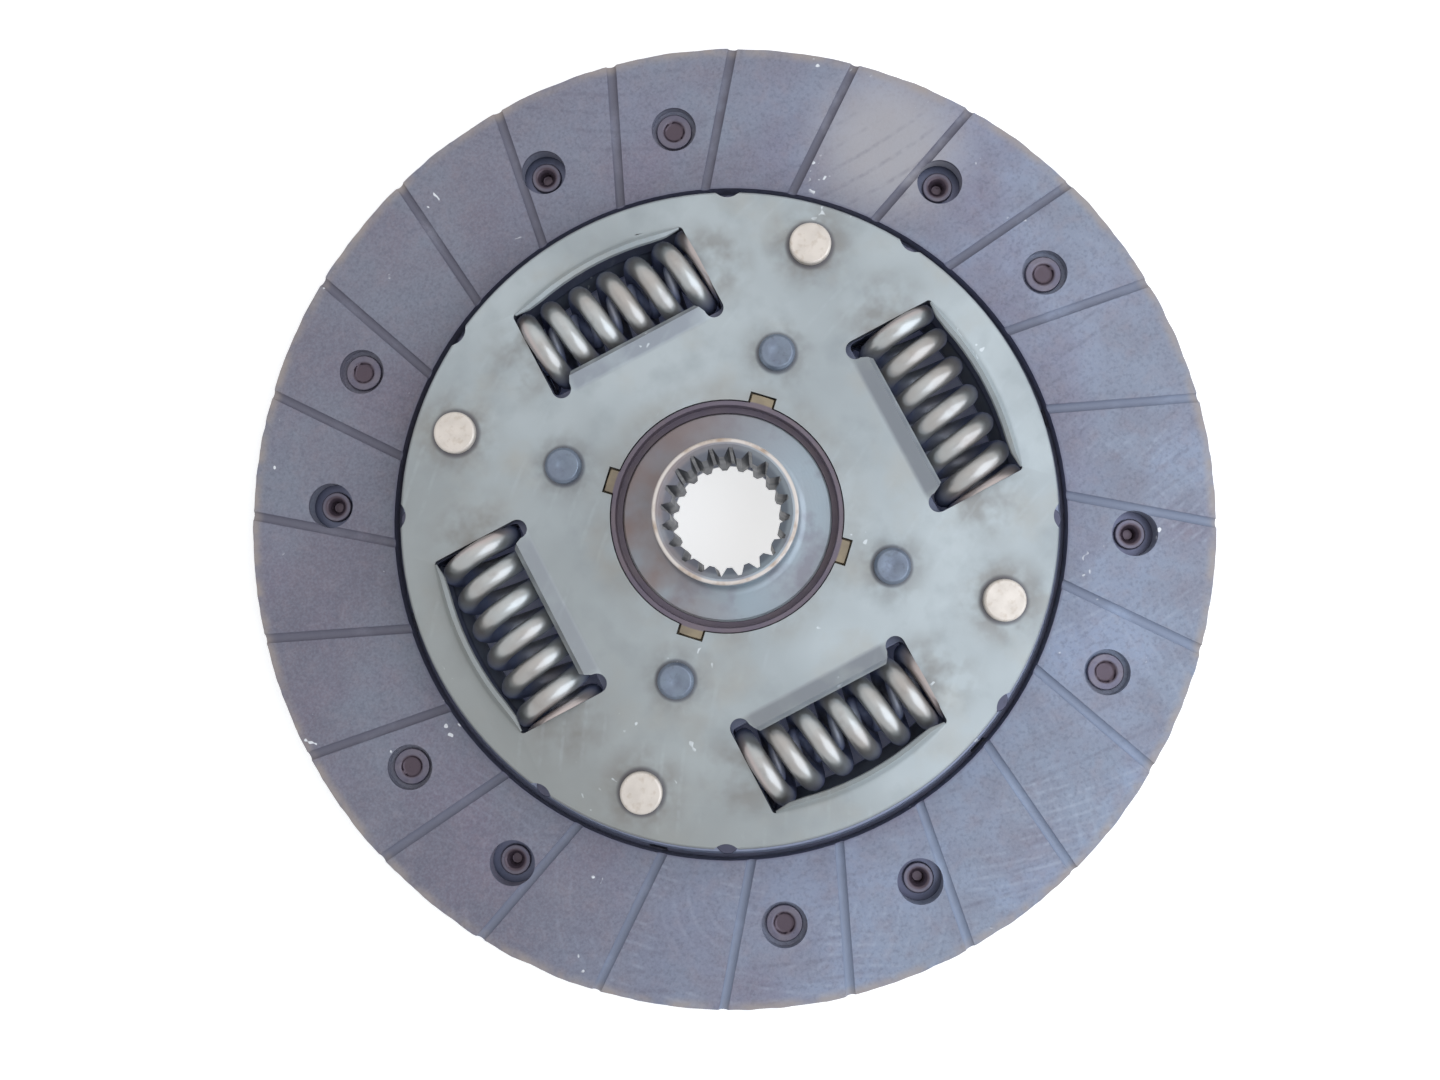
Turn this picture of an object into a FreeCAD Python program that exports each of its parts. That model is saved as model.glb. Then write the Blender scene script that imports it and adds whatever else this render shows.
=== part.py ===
import FreeCAD, Part
import math
import os

# Clutch disc with a sprung hub, lying on its rear lining, in millimetres.
# +Z points to the retainer side. The origin is on the hub's axis, at the face of the rear lining.
# Angles are in degrees, counter-clockwise seen from the retainer side, from the first spring window.

V = FreeCAD.Vector
ORIGIN = V(0, 0, 0)
UP = V(0, 0, 1)

# Linings
lining_width = 30.0
lining_t = 3.5
groove_count = 24
groove_width = 2.0
groove_depth = 0.7
groove_offset = 17.9
groove_start = -8.8

# Waved cushion plate between the linings
cushion_t = 0.7
cushion_wave = 0.6
cushion_bend = 6.5
cushion_ring_rim = 0.6
cushion_overlap = 0.65
paddle_count = 6
paddle_start = 20.0
paddle_half_angle = 27.5
paddle_edge_inset = 1.5
cushion_ring_width = 7.0
slot_end_r = 2.2

# Rivets that hold the linings to the cushion plate
lining_rivet_inset = 1.4
lining_rivet_spread = 20.0
lining_rivet_d = 4.0
lining_rivet_head_d = 7.6
lining_rivet_head_h = 0.9
lining_rivet_dish_d = 4.6
lining_rivet_dish_h = 0.5
lining_rivet_set_d = 6.4
lining_rivet_set_h = 0.8
lining_rivet_bore_d = 2.4
lining_rivet_bore_h = 2.4
lining_rivet_flare = 0.8
lining_seat_t = 1.4
well_d = 9.4

# Drive plate and retainer plate
plate_t = 2.0
drive_plate_inset = 1.0
drive_rim = 3.0
retainer_rim = 6.45
retainer_hole_gap = 2.7
plate_edge = 0.5
scallop_r = 3.2
scallop_depth = 1.2
scallop_spread = 34.0

# Rivets that join the cushion plate and the drive plate
cushion_rivet_inset = 2.7
cushion_rivet_d = 3.4
cushion_rivet_head_d = 5.0
cushion_rivet_head_h = 1.0

# Damper springs
window_count = 4
spring_ring_gap = 1.7
spring_od = 18.2
spring_length = 38.7
wire_d = 4.3
active_half_turns = 10
coil_steps = 6
inner_spring_gap = 0.7
inner_wire_d = 2.2
inner_active_half_turns = 16
inner_coil_steps = 5
wire_sides = 6
closed_rise = 0.51
head_sink = 0.44
tail_sink = 0.2
spring_seat_gap = 0.05

# Pressed windows of both plates
window_inner_corner_r = 2.0
window_outer_corner_r = 0.8
inner_lip_cover = 1.65
inner_lip_reach = 4.25
inner_lip_slope = 33.0
inner_lip_bend_r = 1.6
inner_lip_taper = 1.3
outer_lip_gap = 0.2
outer_lip_reach = 2.05
outer_lip_rise = 2.3
outer_lip_lean = 0.7
outer_lip_foot = 0.7

# Stop pins
stop_pin_inset = 8.7
stop_pin_d = 9.4
stop_pin_tenon_d = 6.4
stop_pin_head_d = 8.4
stop_pin_head_h = 1.8
stop_pin_tail_h = 1.6
stop_pin_edge = 0.35

# Hub and its flange
hub_length = 28.0
hub_rear_lift = 1.3
boss_wall = 1.7
boss_foot_r = 2.0
shoulder_h = 1.6
shoulder_step = 2.8
journal_step = 3.9
hub_edge = 0.5
flange_rim = 2.8
flange_t = 5.0
flange_window_gap = 0.7
flange_window_bulge = 3.2
flange_window_corner_r = 1.0
hub_travel = 8.0
stop_clearance = 0.6
notch_floor_gap = 0.6
notch_corner_r = 2.0
notch_overrun = 5.0

# Spline
tooth_count = 20
spline_root_r = 12.4
tooth_h = 1.7
spline_root_width = 0.7
spline_flank = 25.0
spline_start = 3.35
spline_mouth = 0.55
spline_cutter_drop = 1.1

# Front friction bush, with lugs in notches of the retainer's hole
front_bush_gap = 0.4
front_bush_width = 7.5
front_bush_t = 2.1
collar_t = 0.95
collar_fit = 0.15
collar_sink = 0.3
ledge_h = 0.8
lug_width = 4.6
lug_reach = 1.8
lug_root = 0.45
lug_fit = 0.4

# Ring round the front bush, and the four rivets that hold it to the retainer
bush_ring_gap = 0.2
bush_ring_t = 1.0
bush_ring_width = 6.2
ring_rivet_d = 4.4
ring_rivet_head_d = 7.3
ring_rivet_head_h = 1.9
ring_rivet_tail_d = 6.0
ring_rivet_tail_h = 0.75
ring_rivet_edge = 0.6
ring_rivet_dimple_d = 3.0
ring_rivet_dimple_h = 0.4

# Rear friction stack, between the drive plate and the hub flange
rear_bush_fit = 0.05
rear_bush_wall = 2.95
rear_bush_width = 9.0
rear_bush_t = 0.8
rear_collar_fit = 0.1
thrust_washer_t = 0.6
thrust_washer_gap = 0.3
leg_width = 5.0
leg_circle_gap = 1.0
leg_fit = 0.2
leg_root = 1.0
disc_spring_t = 0.45
disc_spring_h = 0.7
disc_spring_inset = 1.0
disc_spring_hole_gap = 1.4

# Clearance round every rivet shank and pin tenon
rivet_fit = 0.05

# Radii, from the spline out to the linings
spline_tip_r = spline_root_r - tooth_h
boss_r = spline_root_r + boss_wall
journal_r = boss_r + journal_step
shoulder_r = journal_r + shoulder_step
drive_hole_r = journal_r + rear_bush_fit + rear_bush_wall
rear_bush_r = drive_hole_r + rear_bush_width
disc_spring_inner_r = drive_hole_r + disc_spring_hole_gap
disc_spring_outer_r = rear_bush_r - disc_spring_inset
retainer_hole_r = shoulder_r + retainer_hole_gap
front_bush_r = retainer_hole_r + front_bush_width
bush_ring_inner_r = front_bush_r + bush_ring_gap
bush_ring_outer_r = bush_ring_inner_r + bush_ring_width
ring_rivet_circle_r = (bush_ring_inner_r + bush_ring_outer_r) / 2
spring_circle_r = bush_ring_outer_r + spring_ring_gap + spring_od / 2
inner_spring_od = spring_od - 2 * wire_d - inner_spring_gap
window_half = spring_length / 2 + spring_seat_gap
window_inner_x = spring_circle_r - spring_od / 2 + inner_lip_cover - inner_lip_reach
inner_lip_half = window_half - 2 * window_inner_corner_r
outer_lip_tip_r = spring_circle_r + spring_od / 2 + outer_lip_gap
window_outer_r = outer_lip_tip_r + outer_lip_reach
flange_window_inner_x = spring_circle_r - spring_od / 2 - flange_window_gap
flange_window_outer_r = spring_circle_r + spring_od / 2 + flange_window_gap + flange_window_bulge
flange_r = flange_window_outer_r + flange_rim
retainer_r = window_outer_r + retainer_rim
stop_pin_circle_r = retainer_r - stop_pin_inset
drive_r = retainer_r + drive_rim
cushion_rivet_circle_r = drive_r - cushion_rivet_inset
lining_inner_r = drive_r + drive_plate_inset
lining_outer_r = lining_inner_r + lining_width
lining_rivet_circle_r = (lining_inner_r + lining_outer_r) / 2 - lining_rivet_inset
cushion_ring_outer_r = lining_inner_r + cushion_ring_rim
cushion_ring_inner_r = cushion_ring_outer_r - cushion_ring_width

# Levels, from the rear lining up
cushion_low_z = lining_t
cushion_high_z = cushion_low_z + cushion_wave
cushion_ring_z = cushion_low_z + cushion_wave / 2
front_lining_z = cushion_high_z + cushion_t
drive_rear_z = cushion_ring_z + cushion_t
drive_front_z = drive_rear_z + plate_t
flange_rear_z = drive_front_z + disc_spring_h + thrust_washer_t + rear_bush_t
flange_front_z = flange_rear_z + flange_t
retainer_rear_z = flange_front_z + front_bush_t
retainer_front_z = retainer_rear_z + plate_t
mid_z = (drive_front_z + retainer_rear_z) / 2
hub_front_z = hub_rear_lift + hub_length

# Places round the disc
window_angles = [i * 360.0 / window_count for i in range(window_count)]
between_angles = [a + 180.0 / window_count for a in window_angles]
paddle_angles = [paddle_start + i * 360.0 / paddle_count for i in range(paddle_count)]
front_rivet_angles = [a - lining_rivet_spread / 2 for a in paddle_angles]
rear_rivet_angles = [a + lining_rivet_spread / 2 for a in paddle_angles]
groove_angles = [groove_start + i * 360.0 / groove_count for i in range(groove_count)]
scallop_angles = [a + side * scallop_spread / 2 for a in between_angles for side in (-1, 1)]
tail_sides = [1, 1, -1, -1]


def polar(radius, degrees, z=0.0):
    """Point at a radius and an angle round the disc."""
    a = math.radians(degrees)
    return V(radius * math.cos(a), radius * math.sin(a), z)


def rod(radius, z0, z1, centre=ORIGIN):
    """Cylinder between two levels, on a line through centre."""
    return Part.makeCylinder(radius, z1 - z0, V(centre.x, centre.y, z0))


def tube(inner_r, outer_r, z0, z1):
    """Plain ring between two levels."""
    return rod(outer_r, z0, z1).cut(rod(inner_r, z0, z1))


def turned(points):
    """Solid turned about Z from a closed outline of (radius, level) points."""
    outline = [V(r, 0, z) for r, z in points]
    face = Part.Face(Part.makePolygon(outline + outline[:1]))
    return face.revolve(ORIGIN, UP, 360)


def prism(points, z0, z1):
    """Upright prism over a closed outline of (x, y) points."""
    outline = [V(x, y, z0) for x, y in points]
    face = Part.Face(Part.makePolygon(outline + outline[:1]))
    return face.extrude(V(0, 0, z1 - z0))


def spun(shape, degrees):
    """Copy of a shape, turned about the disc's axis."""
    copy = shape.copy()
    copy.rotate(ORIGIN, UP, degrees)
    return copy


def ring_of(shape, angles):
    """One copy of a shape at each angle."""
    return [spun(shape, a) for a in angles]


def holes(radius, circle_r, angles, z0, z1):
    """Drills for a circle of round holes."""
    return [rod(radius, z0, z1, polar(circle_r, a)) for a in angles]


def window_face(inner_x, outer_r, half, inner_corner, outer_corner, z):
    """Spring window: straight inner edge and ends, outer edge on an arc round the disc's axis."""
    corner_y = half - outer_corner
    corner_x = math.sqrt((outer_r - outer_corner) ** 2 - corner_y ** 2)
    stretch = outer_r / (outer_r - outer_corner)
    turn = math.atan2(corner_y, corner_x) / 2 + math.pi / 4
    bulge = V(math.cos(turn), math.sin(turn), 0) * outer_corner
    quarter = inner_corner * (1 - math.sqrt(0.5))

    def at(x, y):
        return V(x, y, z)

    edges = [
        Part.LineSegment(at(inner_x, inner_corner - half), at(inner_x, half - inner_corner)),
        Part.Arc(
            at(inner_x, half - inner_corner),
            at(inner_x + quarter, half - quarter),
            at(inner_x + inner_corner, half),
        ),
        Part.LineSegment(at(inner_x + inner_corner, half), at(corner_x, half)),
        Part.Arc(
            at(corner_x, half),
            at(corner_x, corner_y) + bulge,
            at(corner_x * stretch, corner_y * stretch),
        ),
        Part.Arc(
            at(corner_x * stretch, corner_y * stretch),
            at(outer_r, 0),
            at(corner_x * stretch, -corner_y * stretch),
        ),
        Part.Arc(
            at(corner_x * stretch, -corner_y * stretch),
            at(corner_x, -corner_y) + V(bulge.x, -bulge.y, 0),
            at(corner_x, -half),
        ),
        Part.LineSegment(at(corner_x, -half), at(inner_x + inner_corner, -half)),
        Part.Arc(
            at(inner_x + inner_corner, -half),
            at(inner_x + quarter, quarter - half),
            at(inner_x, inner_corner - half),
        ),
    ]
    return Part.Face(Part.Wire([e.toShape() for e in edges]))


def lining():
    """Grooved friction ring, back face at z = 0 and friction face up, with its rivet wells."""
    seat_z = lining_seat_t
    tools = holes(lining_rivet_d / 2 + rivet_fit, lining_rivet_circle_r, front_rivet_angles, 0, lining_t)
    tools += holes(well_d / 2, lining_rivet_circle_r, front_rivet_angles, seat_z, lining_t)
    tools += holes(well_d / 2, lining_rivet_circle_r, rear_rivet_angles, 0, lining_t)
    groove_r = (groove_width ** 2 / 4 + groove_depth ** 2) / (2 * groove_depth)
    groove = Part.makeCylinder(
        groove_r,
        lining_outer_r,
        V(lining_inner_r / 2, groove_offset, lining_t - groove_depth + groove_r),
        V(1, 0, 0),
    )
    tools += ring_of(groove, groove_angles)
    return tube(lining_inner_r, lining_outer_r, 0, lining_t).cut(tools)


def front_lining():
    """The lining, lying on the high bands of the cushion plate."""
    shape = lining()
    shape.translate(V(0, 0, front_lining_z))
    return shape


def rear_lining():
    """The same lining turned over about a paddle's middle line, so the wells change places."""
    shape = lining()
    shape.rotate(ORIGIN, polar(1, paddle_start), 180)
    shape.translate(V(0, 0, lining_t))
    return shape


def lining_rivet(seat_z, back_z, direction):
    """Rivet with a dished head on the lining's seat and a hollow end rolled on the paddle."""
    bore_r = lining_rivet_bore_d / 2
    dish_r = lining_rivet_dish_d / 2
    shank_r = lining_rivet_d / 2
    head_r = lining_rivet_head_d / 2
    set_r = lining_rivet_set_d / 2
    top = seat_z + direction * lining_rivet_head_h
    bottom = back_z - direction * lining_rivet_set_h
    dish_z = top - direction * lining_rivet_dish_h
    bore_z = bottom + direction * lining_rivet_bore_h
    outline = [
        (0, dish_z),
        (dish_r - lining_rivet_dish_h, dish_z),
        (dish_r, top),
        (head_r, top),
        (head_r, seat_z),
        (shank_r, seat_z),
        (shank_r, back_z),
        (set_r, back_z),
        (set_r, bottom),
        (bore_r + lining_rivet_flare, bottom),
        (bore_r, bottom + direction * lining_rivet_flare),
        (bore_r, bore_z),
        (0, bore_z),
    ]
    return turned(outline)


def lining_rivets(seat_z, back_z, direction, angles):
    """The six rivets of one lining."""
    rivet = lining_rivet(seat_z, back_z, direction)
    rivet.translate(V(lining_rivet_circle_r, 0, 0))
    return ring_of(rivet, angles)


def paddle_band():
    """Waved strip along X: high under the front lining's rivet, low under the rear one's."""
    rivet_y = lining_rivet_circle_r * math.sin(math.radians(lining_rivet_spread / 2))
    near = cushion_bend / 2
    far = 2 * rivet_y - near
    edge = lining_outer_r
    levels = [
        (-edge, cushion_low_z),
        (-far - cushion_bend, cushion_low_z),
        (-far, cushion_high_z),
        (-near, cushion_high_z),
        (near, cushion_low_z),
        (far, cushion_low_z),
        (far + cushion_bend, cushion_high_z),
        (edge, cushion_high_z),
    ]
    outline = [V(0, y, z) for y, z in levels]
    outline += [V(0, y, z + cushion_t) for y, z in reversed(levels)]
    face = Part.Face(Part.makePolygon(outline + outline[:1]))
    return face.extrude(V(lining_outer_r, 0, 0))


def cushion_plate():
    """One-piece spring-steel plate: a flat ring and six waved paddles."""
    paddle_r = lining_outer_r - paddle_edge_inset
    root_r = cushion_ring_outer_r - cushion_overlap
    left = polar(2 * paddle_r, paddle_half_angle)
    sector = prism([(0, 0), (left.x, -left.y), (left.x, left.y)], cushion_low_z, front_lining_z)
    outline = tube(root_r, paddle_r, cushion_low_z, front_lining_z).common(sector)
    paddle = paddle_band().common(outline)
    ring = tube(cushion_ring_inner_r, cushion_ring_outer_r, cushion_ring_z, drive_rear_z)
    blank = ring.fuse(ring_of(paddle, paddle_angles))
    gap_angles = [a + 180.0 / paddle_count for a in paddle_angles]
    tools = holes(slot_end_r, cushion_ring_outer_r, gap_angles, cushion_low_z, front_lining_z)
    tools += holes(
        lining_rivet_d / 2 + rivet_fit,
        lining_rivet_circle_r,
        front_rivet_angles + rear_rivet_angles,
        cushion_low_z,
        front_lining_z,
    )
    tools += holes(
        cushion_rivet_d / 2 + rivet_fit,
        cushion_rivet_circle_r,
        scallop_angles,
        cushion_low_z,
        front_lining_z,
    )
    return blank.cut(tools)


def cushion_rivets():
    """Rivets through the cushion plate and the rim of the drive plate."""
    shank_r = cushion_rivet_d / 2
    head_r = cushion_rivet_head_d / 2
    outline = [
        (0, cushion_ring_z - cushion_rivet_head_h),
        (head_r, cushion_ring_z - cushion_rivet_head_h),
        (head_r, cushion_ring_z),
        (shank_r, cushion_ring_z),
        (shank_r, drive_front_z),
        (head_r, drive_front_z),
        (head_r, drive_front_z + cushion_rivet_head_h),
        (0, drive_front_z + cushion_rivet_head_h),
    ]
    rivet = turned(outline)
    rivet.translate(V(cushion_rivet_circle_r, 0, 0))
    return ring_of(rivet, scallop_angles)


def bend_edge(radius, centre, degrees):
    """Arc round a bend's centre, from straight below it towards +X, in the XZ plane."""
    def at(part):
        a = math.radians(degrees * part)
        return centre + V(radius * math.sin(a), 0, -radius * math.cos(a))

    return Part.Arc(at(0), at(0.5), at(1))


def inner_lip():
    """Straight lip of a window, bent up along its inner edge; z = 0 is the plate's inner face."""
    a = math.radians(inner_lip_slope)
    along = V(math.cos(a), 0, math.sin(a))
    centre = V(window_inner_x, 0, plate_t + inner_lip_bend_r)
    top_arc = bend_edge(inner_lip_bend_r, centre, inner_lip_slope)
    low_arc = bend_edge(inner_lip_bend_r + plate_t, centre, inner_lip_slope)
    tip_x = window_inner_x + inner_lip_reach
    run = along * ((tip_x - low_arc.EndPoint.x) / along.x)
    low_tip = low_arc.EndPoint + run
    top_tip = top_arc.EndPoint + run
    edges = [
        Part.LineSegment(low_arc.StartPoint, top_arc.StartPoint),
        top_arc,
        Part.LineSegment(top_arc.EndPoint, top_tip),
        Part.LineSegment(top_tip, low_tip),
        Part.LineSegment(low_tip, low_arc.EndPoint),
        low_arc,
    ]
    face = Part.Face(Part.Wire([e.toShape() for e in edges]))
    face.translate(V(0, -window_half, 0))
    band = face.extrude(V(0, 2 * window_half, 0))
    root_half = inner_lip_half + window_inner_corner_r
    side_x = window_inner_x + window_inner_corner_r
    tip_half = inner_lip_half - inner_lip_taper
    plan = [
        (window_inner_x, -root_half),
        (side_x, -inner_lip_half),
        (tip_x, -tip_half),
        (tip_x, tip_half),
        (side_x, inner_lip_half),
        (window_inner_x, root_half),
    ]
    top = plate_t + inner_lip_reach
    corners = [rod(window_inner_corner_r, 0, top, V(side_x, y, 0)) for y in (-root_half, root_half)]
    return band.common(prism(plan, 0, top)).cut(corners)


def outer_lip():
    """Curved lip of a window, raised along its outer edge; z = 0 is the plate's inner face."""
    corner_y = window_half - window_outer_corner_r
    sweep = math.degrees(math.asin(corner_y / (window_outer_r - window_outer_corner_r)))
    foot = V(window_outer_r, 0, plate_t)
    crest = V(outer_lip_tip_r + outer_lip_lean, 0, plate_t + outer_lip_rise)
    rising = (crest - foot).normalize()
    start = foot + V(outer_lip_foot, 0, 0)
    end = foot + rising * outer_lip_foot
    bisector = (V(1, 0, 0) + rising).normalize()
    half_turn = V(1, 0, 0).getAngle(rising) / 2
    foot_r = outer_lip_foot * math.tan(half_turn)
    middle = foot + bisector * (foot_r / math.sin(half_turn) - foot_r)
    rest = [
        end,
        crest,
        V(outer_lip_tip_r, 0, plate_t + outer_lip_rise - outer_lip_lean),
        V(outer_lip_tip_r, 0, outer_lip_rise),
        V(window_outer_r, 0, 0),
        start,
    ]
    edges = [Part.Arc(start, middle, end).toShape()] + Part.makePolygon(rest).Edges
    face = Part.Face(Part.Wire(edges))
    face.rotate(ORIGIN, UP, -sweep)
    return face.revolve(ORIGIN, UP, 2 * sweep)


def pressed_plate(radius, hole_r):
    """Round plate with lipped windows and pin holes, inner face at z = 0 and lips up."""
    blank = turned([
        (hole_r, 0),
        (radius - plate_edge, 0),
        (radius, plate_edge),
        (radius, plate_t - plate_edge),
        (radius - plate_edge, plate_t),
        (hole_r, plate_t),
    ])
    face = window_face(
        window_inner_x,
        window_outer_r,
        window_half,
        window_inner_corner_r,
        window_outer_corner_r,
        0,
    )
    tools = ring_of(face.extrude(V(0, 0, plate_t)), window_angles)
    tools += holes(
        stop_pin_tenon_d / 2 + rivet_fit,
        stop_pin_circle_r,
        between_angles,
        0,
        plate_t,
    )
    lips = ring_of(inner_lip(), window_angles) + ring_of(outer_lip(), window_angles)
    return blank.cut(tools).fuse(lips)


def retainer_plate():
    """Front plate: lips outwards, notched hole for the bush's lugs, scalloped rim."""
    plate = pressed_plate(retainer_r, retainer_hole_r)
    notch_half = lug_width / 2 + lug_fit
    notch_r = retainer_hole_r + lug_reach + collar_fit
    notch = Part.makeBox(
        notch_r,
        2 * notch_half,
        plate_t,
        V(0, -notch_half, 0),
    )
    tools = ring_of(notch, between_angles)
    scallop_circle_r = retainer_r - scallop_depth + scallop_r
    tools += holes(scallop_r, scallop_circle_r, scallop_angles, 0, plate_t)
    tools += holes(
        ring_rivet_d / 2 + rivet_fit,
        ring_rivet_circle_r,
        between_angles,
        0,
        plate_t,
    )
    plate = plate.cut(tools)
    plate.translate(V(0, 0, retainer_rear_z))
    return plate


def drive_plate():
    """Rear plate: the same windows with the lips rearwards, slots for the thrust washer's legs."""
    plate = pressed_plate(drive_r, drive_hole_r)
    tools = holes(
        cushion_rivet_d / 2 + rivet_fit,
        cushion_rivet_circle_r,
        [-a for a in scallop_angles],
        0,
        plate_t,
    )
    slot_half = leg_width / 2 + leg_fit
    slot = Part.makeBox(
        thrust_washer_t + 2 * leg_fit,
        2 * slot_half,
        plate_t,
        V(rear_bush_r + leg_circle_gap - leg_fit, -slot_half, 0),
    )
    tools += ring_of(slot, between_angles)
    plate = plate.cut(tools)
    plate.rotate(ORIGIN, V(1, 0, 0), 180)
    plate.translate(V(0, 0, drive_front_z))
    return plate


def stop_pins():
    """Shouldered pins that space the two plates and stop the hub flange in its notches."""
    body_r = stop_pin_d / 2
    tenon_r = stop_pin_tenon_d / 2
    head_r = stop_pin_head_d / 2
    top = retainer_front_z + stop_pin_head_h
    outline = [
        (0, drive_rear_z - stop_pin_tail_h),
        (head_r, drive_rear_z - stop_pin_tail_h),
        (head_r, drive_rear_z),
        (tenon_r, drive_rear_z),
        (tenon_r, drive_front_z),
        (body_r, drive_front_z),
        (body_r, retainer_rear_z),
        (tenon_r, retainer_rear_z),
        (tenon_r, retainer_front_z),
        (head_r, retainer_front_z),
        (head_r, top - stop_pin_edge),
        (head_r - stop_pin_edge, top),
        (0, top),
    ]
    pin = turned(outline)
    pin.translate(V(stop_pin_circle_r, 0, 0))
    return ring_of(pin, between_angles)


def ring_rivets():
    """Dimpled rivets through the retainer and the bush ring."""
    shank_r = ring_rivet_d / 2
    head_r = ring_rivet_head_d / 2
    tail_r = ring_rivet_tail_d / 2
    ring_z = retainer_rear_z - bush_ring_t
    top = retainer_front_z + ring_rivet_head_h
    outline = [
        (0, ring_z - ring_rivet_tail_h),
        (tail_r, ring_z - ring_rivet_tail_h),
        (tail_r, ring_z),
        (shank_r, ring_z),
        (shank_r, retainer_front_z),
        (head_r, retainer_front_z),
        (head_r, top - ring_rivet_edge),
        (head_r - ring_rivet_edge, top),
        (ring_rivet_dimple_d / 2, top),
        (0, top - ring_rivet_dimple_h),
    ]
    rivet = turned(outline)
    rivet.translate(V(ring_rivet_circle_r, 0, 0))
    return ring_of(rivet, between_angles)


def bush_ring():
    """Flat ring round the front bush, held under the retainer."""
    ring_z = retainer_rear_z - bush_ring_t
    ring = tube(bush_ring_inner_r, bush_ring_outer_r, ring_z, retainer_rear_z)
    tools = holes(
        ring_rivet_d / 2 + rivet_fit,
        ring_rivet_circle_r,
        between_angles,
        ring_z,
        retainer_rear_z,
    )
    return ring.cut(tools)


def front_bush():
    """Friction bush between the hub flange and the retainer, its collar and lugs in the hole."""
    inner_r = shoulder_r + front_bush_gap
    collar_r = retainer_hole_r - collar_fit
    ledge_z = flange_front_z + ledge_h
    top = retainer_front_z - collar_sink
    body = turned([
        (inner_r, flange_front_z),
        (front_bush_r, flange_front_z),
        (front_bush_r, retainer_rear_z),
        (collar_r, retainer_rear_z),
        (collar_r, top),
        (collar_r - collar_t, top),
        (collar_r - collar_t, ledge_z),
        (inner_r, ledge_z),
    ])
    lug = Part.makeBox(
        lug_reach + collar_t,
        lug_width,
        plate_t - collar_sink,
        V(collar_r - lug_root, -lug_width / 2, retainer_rear_z),
    )
    return body.fuse(ring_of(lug.common(rod(collar_r + lug_reach, 0, top)), between_angles))


def rear_bush():
    """Friction bush that centres the hub's journal in the drive plate."""
    inner_r = journal_r + rear_bush_fit
    collar_r = drive_hole_r - rear_collar_fit
    back_z = flange_rear_z - rear_bush_t
    return turned([
        (inner_r, drive_rear_z),
        (collar_r, drive_rear_z),
        (collar_r, back_z),
        (rear_bush_r, back_z),
        (rear_bush_r, flange_rear_z),
        (inner_r, flange_rear_z),
    ])


def thrust_washer():
    """Steel washer that the disc spring presses; its four legs hold it in the drive plate."""
    top = flange_rear_z - rear_bush_t
    bottom = top - thrust_washer_t
    inner_r = drive_hole_r + thrust_washer_gap
    leg_r = rear_bush_r + leg_circle_gap
    ring = tube(inner_r, rear_bush_r, bottom, top)
    arm = Part.makeBox(
        leg_r + thrust_washer_t - inner_r,
        leg_width,
        thrust_washer_t,
        V(inner_r, -leg_width / 2, bottom),
    )
    leg = Part.makeBox(
        thrust_washer_t,
        leg_width,
        top - drive_rear_z,
        V(leg_r, -leg_width / 2, drive_rear_z),
    )
    arm = arm.cut(rod(inner_r + leg_root, bottom, top))
    return ring.fuse(ring_of(arm.fuse(leg), between_angles))


def disc_spring():
    """Coned spring washer between the drive plate and the thrust washer."""
    top = flange_rear_z - rear_bush_t - thrust_washer_t
    return turned([
        (disc_spring_outer_r, drive_front_z),
        (disc_spring_outer_r, drive_front_z + disc_spring_t),
        (disc_spring_inner_r, top),
        (disc_spring_inner_r, top - disc_spring_t),
    ])


def hub_core():
    """Turned hub: rear journal, shoulder, and front boss with a rounded foot."""
    shoulder_z = flange_front_z + shoulder_h
    foot = boss_foot_r * (1 - math.sqrt(0.5))
    rear = hub_rear_lift
    front = hub_front_z
    corners = [
        V(shoulder_r, 0, shoulder_z),
        V(shoulder_r, 0, flange_rear_z),
        V(journal_r, 0, flange_rear_z),
        V(journal_r, 0, rear + hub_edge),
        V(journal_r - hub_edge, 0, rear),
        V(0, 0, rear),
        V(0, 0, front),
        V(boss_r - hub_edge / 2, 0, front),
        V(boss_r, 0, front - hub_edge / 2),
        V(boss_r, 0, shoulder_z + boss_foot_r),
    ]
    foot_arc = Part.Arc(
        corners[-1],
        V(boss_r + foot, 0, shoulder_z + foot),
        V(boss_r + boss_foot_r, 0, shoulder_z),
    )
    last = Part.LineSegment(V(boss_r + boss_foot_r, 0, shoulder_z), corners[0])
    edges = Part.makePolygon(corners).Edges + [foot_arc.toShape(), last.toShape()]
    return Part.Face(Part.Wire(edges)).revolve(ORIGIN, UP, 360)


def stop_notch():
    """Notch in the flange's rim that lets a stop pin travel, centred on +X."""
    pin_angle = math.degrees(math.asin(stop_pin_d / 2 / stop_pin_circle_r))
    half_angle = hub_travel + stop_clearance + pin_angle
    floor_r = stop_pin_circle_r - stop_pin_d / 2 - notch_floor_gap
    edge = polar(2 * flange_r, half_angle)
    sector = prism([(0, 0), (edge.x, -edge.y), (edge.x, edge.y)], flange_rear_z, flange_front_z)
    notch = tube(floor_r, flange_r + notch_overrun, flange_rear_z, flange_front_z).common(sector)
    upright = [e for e in notch.Edges if len(e.Vertexes) == 2 and e.BoundBox.ZLength > flange_t / 2]
    corners = [e for e in upright if math.hypot(e.CenterOfMass.x, e.CenterOfMass.y) < flange_r]
    return notch.makeFillet(notch_corner_r, corners)


def hub_flange():
    """Flange disc with a window for each spring and a notch for each stop pin."""
    face = window_face(
        flange_window_inner_x,
        flange_window_outer_r,
        window_half,
        flange_window_corner_r,
        flange_window_corner_r,
        flange_rear_z,
    )
    tools = ring_of(face.extrude(V(0, 0, flange_t)), window_angles)
    tools += ring_of(stop_notch(), between_angles)
    return rod(flange_r, flange_rear_z, flange_front_z).cut(tools)


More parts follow.
